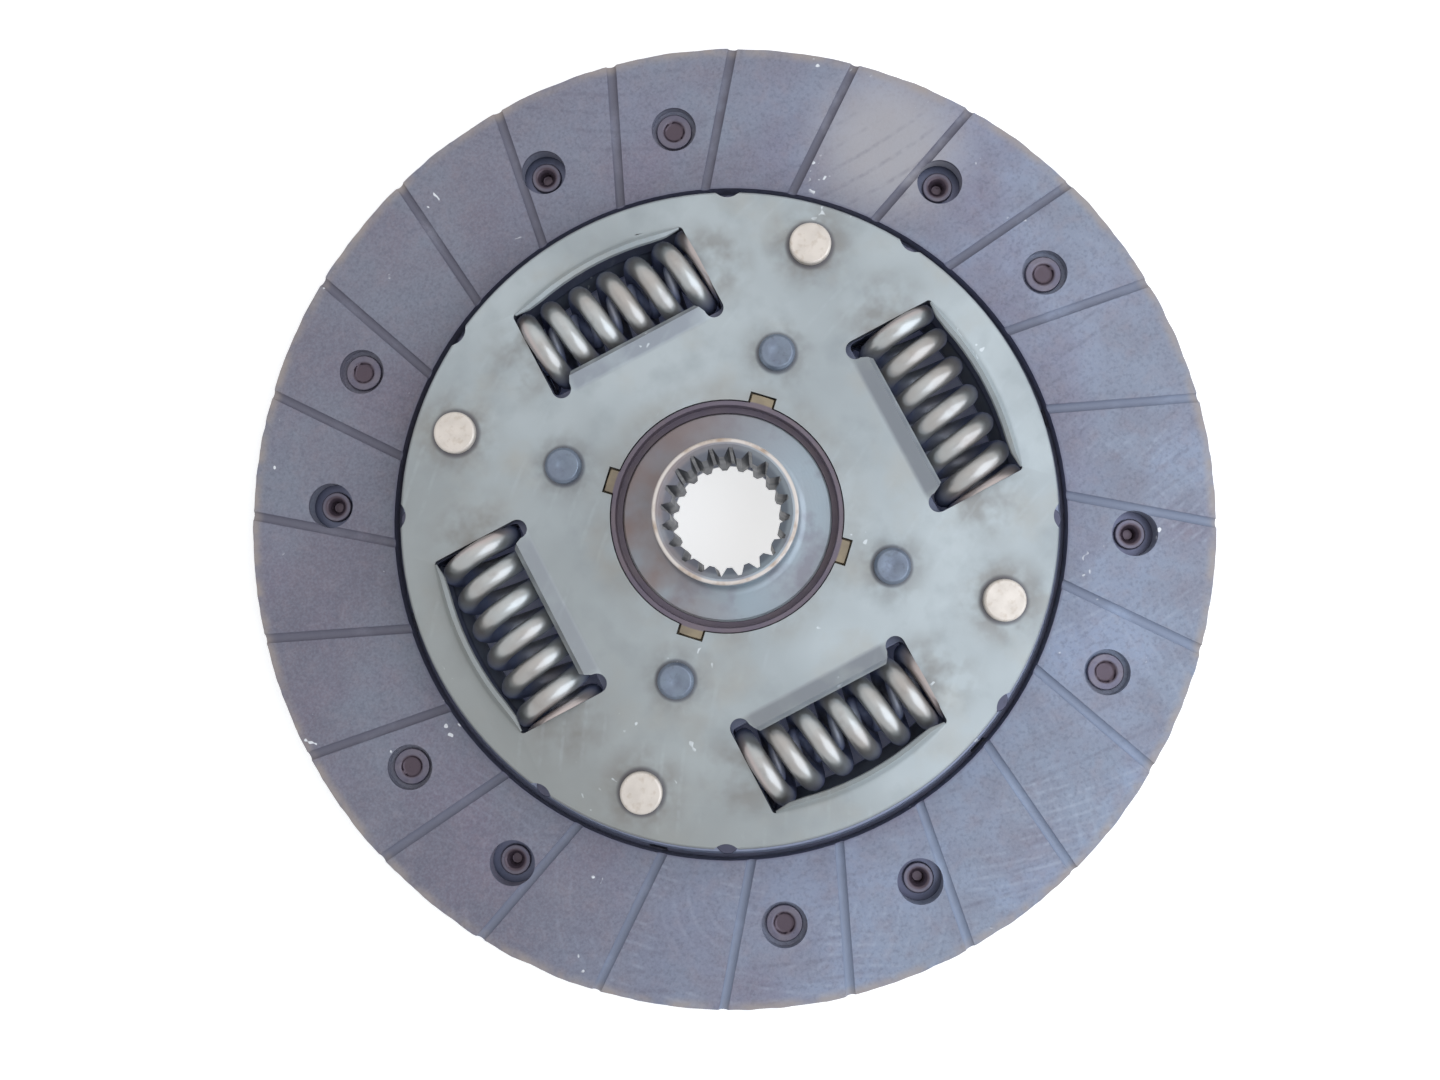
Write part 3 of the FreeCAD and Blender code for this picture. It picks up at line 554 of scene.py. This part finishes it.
def window_band(tree, place, inner, outer, half):
    """Share on the four straight bands of a window's inner edge, which lie along X or Y."""
    apart = add_node(tree, "ShaderNodeVectorMath", {0: place}, operation="ABSOLUTE")
    sides = add_node(tree, "ShaderNodeSeparateXYZ", {0: apart.outputs[0]}).outputs
    out = add_node(tree, "ShaderNodeMath", {0: sides["X"], 1: sides["Y"]}, operation="MAXIMUM").outputs[0]
    along = add_node(tree, "ShaderNodeMath", {0: sides["X"], 1: sides["Y"]}, operation="MINIMUM").outputs[0]
    share = 1.0
    fades = [(out, inner, inner + 0.8), (out, outer, outer - 0.6), (along, half, half - 1.5)]
    for value, low, high in fades:
        faded = add_node(tree, "ShaderNodeMapRange", {
            "Value": value,
            "From Min": low * MM,
            "From Max": high * MM,
        }).outputs[0]
        share = add_node(tree, "ShaderNodeMath", {0: faded, 1: share}, operation="MULTIPLY").outputs[0]
    return share


def retainer_marks(tree, place):
    """Brown stains on the plate that faces out, and painted shade on lips, walls, round heads and the far
    side.
    """
    lips = window_band(tree, place, LIP_INNER, LIP_OUTER, LIP_HALF)
    return [
        # Painted shade: the slopes of the inner lips are painted a darker grey.
        (broken(tree, place, lips, 9, 0.2, 0.5), "#8f949b"),
        # Painted shade: darker towards the lower left, away from the window.
        (slope(tree, place, LOWER_LEFT, 12, 62, 0.75), "#868784"),
        # Painted shade: every face below the retainer's front, its walls and cut edges, is painted dark.
        (slope(tree, place, UP, *BELOW_FACE_SHADE, 0.92), "#393c49"),
        (broken(tree, place, patches(tree, place, PIN_SPOTS, 4.6, 7, 0.6), 5, 0.35, 0.62), "#77716c"),
        (broken(tree, place, patches(tree, place, RING_RIVET_SPOTS, 3.6, 6, 0.5), 4, 0.35, 0.62), "#787674"),
        (broken(tree, place, patches(tree, place, WINDOW_ENDS, 3, 9, 0.6), 6, 0.4, 0.62), "#787470"),
        (broken(tree, place, reach(tree, place, 31, 24, 0.5), 8, 0.35, 0.65), "#8b8780"),
        # Painted shade: a dark line round each pin and ring rivet head, where it meets the sheet.
        (patches(tree, place, PIN_SPOTS, 4.5, 0.9, 0.75), "#504d54"),
        (patches(tree, place, RING_RIVET_SPOTS, 3.9, 0.7, 0.7), "#4c4e5a"),
    ]


def drive_marks(tree, place):
    """Dark blue grey on the face to the springs, dust and painted shade, and a rim painted paler as fill
    light.
    """
    return [
        # Partly oil and dust, partly painted shade: the front face, deep behind the springs, is painted dark
        # blue grey.
        (slope(tree, place, UP, *DRIVE_FRONT_SHADE_AND_DUST, 0.9), "#5a6078"),
        # Painted fill light: the rim is painted paler so that the gap there is not black.
        (reach(tree, place, *DRIVE_RIM_FILL_LIGHT, 0.9), "#98a0b9"),
    ]


retainer_finish = pressed_steel("stained_and_shaded_pressed_steel", "#9aa1a4", "#aeb6b9", retainer_marks)
drive_finish = pressed_steel("oiled_and_shaded_pressed_steel", "#808899", "#9098a8", drive_marks)
print("plate finishes:", retainer_finish.name, drive_finish.name)

# %% [markdown]
# ## Turned and forged hub
# The hub is a forging, turned on its faces and broached for the spline. The ring at the end of the
# boss is rubbed bright, with a few tan patches. The shoulder below it is blue grey, painted darker
# on the side away from the window as the boss's painted shadow, and browner in broken clouds
# towards the left. The broached tooth flanks are painted dark, and the flange between the plates is
# painted a dark blue grey as painted shade. Turning leaves fine grooves, so the relief has rings
# round the axis, drawn 0.8 mm apart, coarser than real ones.

# %% Hub steel
BOSS_FACE = (28.9, 29.2)
BOSS_RING = (13.2, 13.5)
TOOTH_ROOTS = (12.75, 12.6)
TOOTH_TIPS = (12.4, 11.7)
FLANGE_SHADE = (24, 28)
FRONT_CONE = -16.25
REAR_CONE = 14.35
CONE_EDGE = 0.4
TURNING_STEP = 0.8


def tooth_flanks(tree, place):
    """Share on the broached teeth, between the cones that open the bore at the front and the rear."""
    flat = add_node(tree, "ShaderNodeVectorMath", {0: place, 1: (1, 1, 0)}, operation="MULTIPLY").outputs[0]
    radius = add_node(tree, "ShaderNodeVectorMath", {0: flat}, operation="LENGTH").outputs["Value"]
    height = add_node(tree, "ShaderNodeSeparateXYZ", {0: place}).outputs["Z"]
    share = reach(tree, place, *TOOTH_ROOTS, 0.92)
    for operation, cone in (("SUBTRACT", FRONT_CONE), ("ADD", REAR_CONE)):
        from_cone = add_node(tree, "ShaderNodeMath", {0: radius, 1: height}, operation=operation).outputs[0]
        inside = add_node(tree, "ShaderNodeMapRange", {
            "Value": from_cone,
            "From Min": cone * MM,
            "From Max": (cone + CONE_EDGE) * MM,
        }).outputs[0]
        share = add_node(tree, "ShaderNodeMath", {0: inside, 1: share}, operation="MULTIPLY").outputs[0]
    return share


def hub_steel():
    """Forged and turned steel, bright on the boss, with painted shade on the flange and the shoulder."""
    material, tree, place, shader = start_material("turned_forging", 0.42, 0.4)
    bright = add_node(tree, "ShaderNodeMath", {
        0: slope(tree, place, UP, *BOSS_FACE),
        1: reach(tree, place, *BOSS_RING),
    }, operation="MULTIPLY").outputs[0]
    turned = add_node(tree, "ShaderNodeTexWave", {
        "Vector": place,
        "Scale": per_mm(TURNING_STEP) * WAVE_STEP,
        "Distortion": 1.0,
        "Detail Scale": 0.1,
    }, wave_type="RINGS", rings_direction="Z").outputs["Fac"]
    paint(tree, shader, "#98a4ad", [
        (cloud(tree, place, 15, 0.4, 0.65, most=0.7), "#9ca1a7"),
        (cloud(tree, place, 6, 0.5, 0.72, most=0.6, detail=4.0, shift=(0.6, 0, 0)), "#7a7480"),
        # Painted shadow: darker and browner away from the window, where the boss would shade the shoulder.
        (slope(tree, place, LOWER_RIGHT, 6, -18, 0.75), "#7d7478"),
        # Browner in broken clouds towards the left.
        (broken(tree, place, slope(tree, place, PICTURE_RIGHT, 4, -16, 0.8), 9, 0.35, 0.6), "#84726e"),
        # Painted shade: the flange between the plates is painted a dark blue grey.
        (reach(tree, place, *FLANGE_SHADE, 0.9), "#5a6078"),
        # Darker towards the bore, and dark on the tooth flanks.
        (reach(tree, place, *TOOTH_TIPS, 0.6), "#5d6370"),
        (tooth_flanks(tree, place), "#3a3e4b"),
        (bright, "#cdc5bf"),
        (broken(tree, place, bright, 4, 0.5, 0.68, (0.1, 0.3, 0)), "#a79484"),
    ])
    vary_gloss(tree, place, shader, 6, 0.34, 0.5)
    emboss(tree, shader, [(turned, 0.006), (cloud(tree, place, 0.4, 0.3, 0.7), 0.012)])
    return material


hub_finish = hub_steel()
print("hub finish nodes:", len(hub_finish.node_tree.nodes))

# %% [markdown]
# ## Spring wire
# The damper springs are wound from drawn wire, smooth and oily. Near the plate's face it mirrors
# the window in a long white streak, browns where it rubs, and is warmer at the ground ends. Deep
# between the plates it is painted a matt blue grey, which is no metal, as painted shade. So the
# depth below the surface sets colour, metal and roughness together. It is measured from the
# springs' middle level, so that both sides of the disc have it.

# %% Spring wire
SPRING_MID = 11.1
DEEP_WIRE_SHADE = (6.1, 2.5)
GROUND_END = (17.4, 18.2)


def wire_steel():
    """Drawn wire, a mirror where the window lights it, and painted matt blue grey shade deep between the
    plates.
    """
    material, tree, place, shader = start_material("drawn_spring_wire", 0.36, 0.7)
    middle = (0, 0, SPRING_MID * MM)
    centred = add_node(tree, "ShaderNodeVectorMath", {0: place, 1: middle}, operation="SUBTRACT")
    apart = add_node(tree, "ShaderNodeVectorMath", {0: centred.outputs[0]}, operation="ABSOLUTE")
    sides = add_node(tree, "ShaderNodeSeparateXYZ", {0: apart.outputs[0]}).outputs
    deep = add_node(tree, "ShaderNodeMapRange", {
        "Value": sides["Z"],
        "From Min": DEEP_WIRE_SHADE[0] * MM,
        "From Max": DEEP_WIRE_SHADE[1] * MM,
    }).outputs[0]
    along = add_node(tree, "ShaderNodeMath", {0: sides["X"], 1: sides["Y"]}, operation="MINIMUM").outputs[0]
    tail = add_node(tree, "ShaderNodeMapRange", {
        "Value": along,
        "From Min": GROUND_END[0] * MM,
        "From Max": GROUND_END[1] * MM,
        "To Max": 0.8,
    }).outputs[0]
    paint(tree, shader, "#aeb2b3", [
        (cloud(tree, place, 11, 0.38, 0.64), "#a4a09d"),
        (cloud(tree, place, 4, 0.54, 0.76, most=0.45, shift=(0.6, 0, 0)), "#857d7a"),
        (tail, "#b8acaa"),
        # Painted shade: deep wire is painted a matt blue grey, and the loop below makes it matt and no
        # metal.
        (deep, "#7b84a4"),
    ])
    for socket, bare, dusty in (("Metallic", 0.75, 0.05), ("Roughness", 0.31, 0.62)):
        mixed = add_node(tree, "ShaderNodeMapRange", {"Value": deep, "To Min": bare, "To Max": dusty})
        tree.links.new(mixed.outputs[0], shader.inputs[socket])
    emboss(tree, shader, [(cloud(tree, place, 0.35, 0.3, 0.7), 0.008)])
    return material


wire_finish = wire_steel()
print("wire finish nodes:", len(wire_finish.node_tree.nodes))

# %% [markdown]
# ## Blued plate and heads
# The cushion plate and the washers are blued spring steel. The stop pins' heads are bright from
# riveting, the small rivets are dark, and the lining rivets sit in wells full of dust, their
# dished middles dark brown. These steels differ only in tint, roughness and how metallic they
# look, so one function makes them all.

# %% Blued steel and heads
# The wells are 20 degrees apart, and every third place has none.
WELL_CIRCLE = 83.6
WELLS = [(WELL_CIRCLE, 10 + 20 * i) for i in range(18) if i % 3 != 2]


def plain_steel(name, base, tint, marks, roughness, metallic, size, spots=None):
    """Bare steel with clouds of a tint, darker marks, and dirt on spots if any are given."""
    material, tree, place, shader = start_material(name, roughness, metallic)
    layers = [
        (cloud(tree, place, size, 0.38, 0.64), tint),
        (cloud(tree, place, size / 3, 0.54, 0.76, most=0.45, shift=(0.6, 0, 0)), marks),
    ]
    if spots:
        layers.append((patches(tree, place, spots, 2.1, 0.5, 0.9), "#4a3d47"))
    paint(tree, shader, base, layers)
    vary_gloss(tree, place, shader, size / 2, roughness * 0.8, roughness * 1.25)
    emboss(tree, shader, [(cloud(tree, place, 0.35, 0.3, 0.7), 0.008)])
    return material


blued_finish = plain_steel("blued_spring_steel", "#5a5f74", "#62647a", "#484a5c", 0.4, 0.6, 12)
head_finish = plain_steel("riveted_head_steel", "#d6cdc4", "#cbc2b9", "#a8957f", 0.42, 0.3, 4)
dark_finish = plain_steel("dark_rivet_steel", "#747f8e", "#6b7484", "#50565f", 0.36, 0.5, 3)
# Painted shade: the rim rivets are painted dark, since they sit in shade under the retainer's rim.
shaded_rim_finish = plain_steel("shaded_rim_rivet_steel", "#4d4e62", "#55566a", "#3c3c4a", 0.4, 0.4, 3)
dusty_finish = plain_steel("dusty_rivet_steel", "#605d6e", "#6b6672", "#4e4958", 0.34, 0.5, 3, WELLS)
print("steel finishes:", blued_finish.name, head_finish.name, dusty_finish.name)

# %% [markdown]
# ## Friction bush
# The ring under the retainer is moulded resin with a fibre filling. Its lugs show ochre in the
# retainer's notches. Its collar is a dark purple brown where it meets the hub, partly dirt and
# partly painted shade of its recess. Resin is no metal, so the shader stays at its plastic default
# and only colour, gloss and a fine relief vary.

# %% Friction bush resin
COLLAR_DIRT_AND_SHADE = (23.7, 23.3)
COLLAR_DIRT = (23.6, 23.2)


def bush_material():
    """Fibre filled resin, ochre on the lugs, and dark on the collar with dirt and painted shade."""
    material, tree, place, shader = start_material("filled_bush_resin", 0.55)
    paint(tree, shader, "#96876e", [
        (cloud(tree, place, 5, 0.4, 0.65, most=0.8), "#7c7060"),
        # Partly dirt, partly painted shade: the collar is painted dark purple brown.
        (reach(tree, place, *COLLAR_DIRT_AND_SHADE, 0.92), "#655b6b"),
        (broken(tree, place, reach(tree, place, *COLLAR_DIRT, 0.5), 6, 0.45, 0.65), "#75676a"),
    ])
    vary_gloss(tree, place, shader, 5, 0.45, 0.65)
    emboss(tree, shader, [(cloud(tree, place, 0.6, 0.35, 0.65), 0.03)])
    return material


bush_finish = bush_material()
print("bush finish:", bush_finish.name)

# %% [markdown]
# ## Eased edges
# Nothing stamped, ground or turned has a truly sharp edge, and it is the thin bright line along an
# edge that tells the eye so. A bevel node in the material could fake the line, but the exported
# mesh would stay sharp. A node's mesh is loose triangles, so each visible node is copied, its
# points are merged, its flat faces are joined again, and a bevel of a few tenths of a millimetre
# is run along the sharp edges.

# %% Merged and eased copies
SHARP_EDGE = math.radians(28)


def select_only(piece):
    """Make a piece the only one that operators act on."""
    bpy.ops.object.select_all(action="DESELECT")
    piece.select_set(True)
    bpy.context.view_layer.objects.active = piece


def merged_copy(node, name):
    """Copy of a node's mesh, merged into flat faces."""
    piece = bpy.data.objects.new(name, nodes[node].data.copy())
    scene.collection.objects.link(piece)
    select_only(piece)
    bpy.ops.mesh.customdata_custom_splitnormals_clear()
    bpy.ops.object.mode_set(mode="EDIT")
    bpy.ops.mesh.select_all(action="SELECT")
    bpy.ops.mesh.remove_doubles(threshold=2e-6)
    bpy.ops.mesh.dissolve_limited(angle_limit=math.radians(0.4))
    bpy.ops.object.mode_set(mode="OBJECT")
    return piece


def ease_edges(piece, width):
    """Bevel the sharp edges by a width in millimetres, and shade the rest smooth."""
    select_only(piece)
    easing = piece.modifiers.new("eased_edges", "BEVEL")
    easing.width = width * MM
    easing.segments = 2
    easing.limit_method = "ANGLE"
    easing.angle_limit = SHARP_EDGE
    easing.harden_normals = True
    bpy.ops.object.shade_smooth_by_angle(angle=SHARP_EDGE)
    bpy.ops.object.modifier_apply(modifier=easing.name)


print("edges sharper than", round(math.degrees(SHARP_EDGE)), "degrees are eased")

# %% [markdown]
# ## Chipped rims
# The outer edge of a moulded lining crumbles a little in use. Cutting every chip by a boolean would
# be slow and leave slivers. Instead the rim's level edges are divided finely, and a noise pushes
# the new points sideways by some tenths of a millimetre, so that both faces stay flat.

# %% Chip a rim
LINING_RIM = 99.0
CHIP_DEPTH = 0.5
CHIP_SIZES = {"X": 4, "Y": 5}


def rim_points(piece):
    """Numbers of the points on a lining's outer rim."""
    return [v.index for v in piece.data.vertices if v.co.xy.length > LINING_RIM * MM]


def chip_rim(piece):
    """Roughen a lining's outer rim, sideways only."""
    select_only(piece)
    bpy.ops.object.mode_set(mode="EDIT")
    bpy.ops.mesh.select_all(action="DESELECT")
    bpy.ops.object.mode_set(mode="OBJECT")
    on_rim = set(rim_points(piece))
    for edge in piece.data.edges:
        ends = [piece.data.vertices[i].co for i in edge.vertices]
        level = abs(ends[0].z - ends[1].z) < 0.1 * MM
        edge.select = level and all(i in on_rim for i in edge.vertices)
    bpy.ops.object.mode_set(mode="EDIT")
    bpy.ops.mesh.subdivide(number_cuts=4)
    bpy.ops.object.mode_set(mode="OBJECT")
    rim = piece.vertex_groups.new(name="rim")
    rim.add(rim_points(piece), 1.0, "REPLACE")
    for axis, size in CHIP_SIZES.items():
        chips = bpy.data.textures.new("rim_chips_" + axis, "CLOUDS")
        chips.noise_scale = size * MM
        push = piece.modifiers.new("chipped_rim_" + axis, "DISPLACE")
        push.texture = chips
        push.direction = axis
        push.vertex_group = "rim"
        push.strength = CHIP_DEPTH * MM
        bpy.ops.object.modifier_apply(modifier=push.name)
    print(piece.name, "points on the chipped rim:", len(rim_points(piece)))


# %% [markdown]
# ## Lips that run out
# The press raises a low lip along the curved edge of each window. Near its ends a real lip gets
# lower and runs out in the sheet, while the solid's lip ends square. The lip could be modelled
# anew, but it only has to shrink: each ring of points across it is scaled towards the lip's foot,
# most at the end and less further in.

# %% Taper the lips
LIP_FOOT = (59.6, 17.7)
LIP_RINGS = [(18.46, 0.25), (15.62, 0.85)]
LIP_SPAN = (57.2, 60.4)
FOOT_SKIN = 0.02
RING_WIDTH = 0.06


def select_lip_ring(piece, ray):
    """Select the points of the curved lip that lie on a ray from the disc's axis."""
    select_only(piece)
    bpy.ops.object.mode_set(mode="EDIT")
    bpy.ops.mesh.select_mode(type="VERT")
    bpy.ops.mesh.select_all(action="DESELECT")
    bpy.ops.object.mode_set(mode="OBJECT")
    for v in piece.data.vertices:
        out = v.co.dot(ray)
        aside = v.co.xy.length_squared - out * out
        above_foot = v.co.z > (LIP_FOOT[1] - FOOT_SKIN) * MM
        on_ring = LIP_SPAN[0] < out / MM < LIP_SPAN[1] and aside < (RING_WIDTH * MM) ** 2
        v.select = above_foot and on_ring
    return sum(v.select for v in piece.data.vertices)


def taper_lips(piece):
    """Shrink the curved lips towards their foot near both ends, so that they run out in the plate."""
    moved = 0
    for window in WINDOW_ANGLES:
        for sweep, keep in LIP_RINGS:
            for side in (-1, 1):
                turn = math.radians(window + side * sweep)
                ray = Vector((math.cos(turn), math.sin(turn), 0))
                foot = (ray * LIP_FOOT[0] + Vector((0, 0, LIP_FOOT[1]))) * MM
                moved += select_lip_ring(piece, ray)
                bpy.ops.object.mode_set(mode="EDIT")
                bpy.ops.transform.resize(value=(keep, keep, keep), center_override=foot)
                bpy.ops.object.mode_set(mode="OBJECT")
    print(piece.name, "points moved on the lips:", moved)


# %% [markdown]
# ## Dressed copies
# Linings, plates, bush, hub and rivets all go the same way, so one table and one loop dress them.
# Each row is a node, the name and edge width of its dressed copy, and its finish, body and
# material slot. The copy rides on the node's body and stands for the node.

# %% Dress the nodes
def dress(piece, material, body, slot, *stands_for):
    """Give a piece its finish, its body and the nodes that it stands for."""
    piece.data.materials.clear()
    piece.data.materials.append(material)
    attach(piece, body)
    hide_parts(*stands_for)


DRESSED = [
    ("front_lining", "ground_front_lining", 0.22, lining_finish, "disc_body", "friction_lining"),
    ("rear_lining", "ground_rear_lining", 0.22, lining_finish, "disc_body", "friction_lining"),
    ("retainer_plate", "pressed_retainer", 0.3, retainer_finish, "disc_body", "retainer_steel"),
    ("drive_plate", "pressed_drive_plate", 0.3, drive_finish, "disc_body", "drive_steel"),
    ("front_bush", "moulded_front_bush", 0.15, bush_finish, "disc_body", "friction_bush"),
    ("hub", "broached_hub", 0.16, hub_finish, "hub", "hub_steel"),
    ("stop_pins", "headed_stop_pins", 0.2, head_finish, "disc_body", "pin_steel"),
    ("ring_rivets", "dimpled_ring_rivets", 0.2, dark_finish, "disc_body", "dark_rivet"),
    ("front_lining_rivets", "rolled_front_rivets", 0.45, dusty_finish, "disc_body", "lining_rivet"),
    ("rear_lining_rivets", "rolled_rear_rivets", 0.35, dusty_finish, "disc_body", "lining_rivet"),
    ("cushion_rivets", "rim_rivets", 0.25, shaded_rim_finish, "disc_body", "dark_rivet"),
]

for node, name, width, finish, body, slot in DRESSED:
    piece = merged_copy(node, name)
    if slot == "friction_lining":
        chip_rim(piece)
    if node == "retainer_plate":
        taper_lips(piece)
    ease_edges(piece, width)
    dress(piece, finish, body, slot, node)
    print(name, "faces:", len(piece.data.polygons))

# %% [markdown]
# ## Nodes that keep their own mesh
# The cushion plate, the bush ring, the rear bush, the thrust washer and the disc spring sit
# between other pieces. Their shapes are right as they are, so they only get a finish.

# %% Finishes on kept nodes
KEPT = {
    "cushion_plate": blued_finish,
    "bush_ring": drive_finish,
    "rear_bush": bush_finish,
    "thrust_washer": blued_finish,
    "disc_spring": blued_finish,
}
for node, finish in KEPT.items():
    nodes[node].data.materials.clear()
    nodes[node].data.materials.append(finish)
print("kept nodes:", sorted(KEPT))

# %% [markdown]
# ## Coil springs
# A damper spring is round wire, wound close at both ends and open between, with its ends ground
# flat so that they seat square in the window. A screw modifier could wind it, but with one rise
# throughout. So the wire's centre line is drawn as a curve with the same rises as the solid, given
# a round section and made a mesh. Both ends are then cut off flat with a bisect that fills the
# cut, which is just what grinding does.

# %% Wind a spring
spring_low, spring_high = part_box("damper_spring_1")
SPRING_LENGTH = (spring_high.y - spring_low.y) / MM
CLOSED_RISE = 0.51
HEAD_SINK = 0.44
TAIL_SINK = 0.2
STEPS = 14


def wire_points(od, wire, count, hand):
    """Centre line of a spring along Y, from end to end, in millimetres."""
    closed = [wire * CLOSED_RISE] * 2
    length = SPRING_LENGTH + wire * (HEAD_SINK + TAIL_SINK)
    rises = closed + [(length - 2 * sum(closed)) / count] * count + closed
    radius = (od - wire) / 2
    y = -SPRING_LENGTH / 2 - wire * HEAD_SINK
    points = [Vector((hand * radius, y, 0))]
    for i, rise in enumerate(rises):
        for k in range(1, STEPS + 1):
            y += rise / STEPS
            turn = math.pi * (i + k / STEPS)
            points.append(Vector((hand * radius * math.cos(turn), y, radius * math.sin(turn))))
    return points


def coil(name, od, wire, count, hand):
    """Round wire along the points, with both ends ground flat."""
    curve = bpy.data.curves.new(name, "CURVE")
    curve.dimensions = "3D"
    curve.bevel_depth = wire / 2 * MM
    curve.bevel_resolution = 5
    points = wire_points(od, wire, count, hand)
    spline = curve.splines.new("POLY")
    spline.points.add(len(points) - 1)
    for spot, point in zip(spline.points, points):
        spot.co = (*(point * MM), 1.0)
    piece = bpy.data.objects.new(name, curve)
    scene.collection.objects.link(piece)
    select_only(piece)
    bpy.ops.object.convert(target="MESH")
    bpy.ops.object.mode_set(mode="EDIT")
    for side in (-1, 1):
        bpy.ops.mesh.select_all(action="SELECT")
        bpy.ops.mesh.bisect(
            plane_co=(0, side * SPRING_LENGTH / 2 * MM, 0),
            plane_no=(0, side, 0),
            use_fill=True,
            clear_outer=True,
        )
    bpy.ops.mesh.select_all(action="SELECT")
    bpy.ops.mesh.normals_make_consistent(inside=False)
    bpy.ops.object.mode_set(mode="OBJECT")
    bpy.ops.object.shade_smooth_by_angle(angle=math.radians(40))
    return piece


print("spring length:", round(SPRING_LENGTH, 2), "mm")

# %% [markdown]
# ## Springs in their windows
# Each spring is turned into its window, with its tail on the side that the picture shows. Two of
# the four hold a thinner spring inside, wound the other way so that the coils can't catch. As the
# hub turns, the windows of the hub and the plates move apart and each spring gets shorter.

# %% Seat the springs
SPRING_CIRCLE = 48.2
TAIL_SIDES = [1, 1, -1, -1]
OUTER_SPRING = {"od": 18.2, "wire": 4.3, "count": 10, "hand": -1}
INNER_SPRING = {"od": 8.9, "wire": 2.2, "count": 16, "hand": 1}


def seat_spring(piece, index, node):
    """Put a spring in its window, tail on its own side."""
    turn = math.radians(WINDOW_ANGLES[index])
    place = Matrix.Rotation(turn, 4, "Z") @ Matrix.Translation((SPRING_CIRCLE * MM, 0, SPRING_MID * MM))
    if TAIL_SIDES[index] < 0:
        place = place @ Matrix.Rotation(math.pi, 4, "Z")
    piece.data.transform(place)
    dress(piece, wire_finish, "springs", "coil_steel", node)
    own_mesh(piece)


for i in range(len(WINDOW_ANGLES)):
    number = str(i + 1)
    seat_spring(coil("wire_spring_" + number, **OUTER_SPRING), i, "damper_spring_" + number)
    if i % 2 == 1:
        seat_spring(coil("inner_wire_spring_" + number, **INNER_SPRING), i, "inner_spring_" + number)
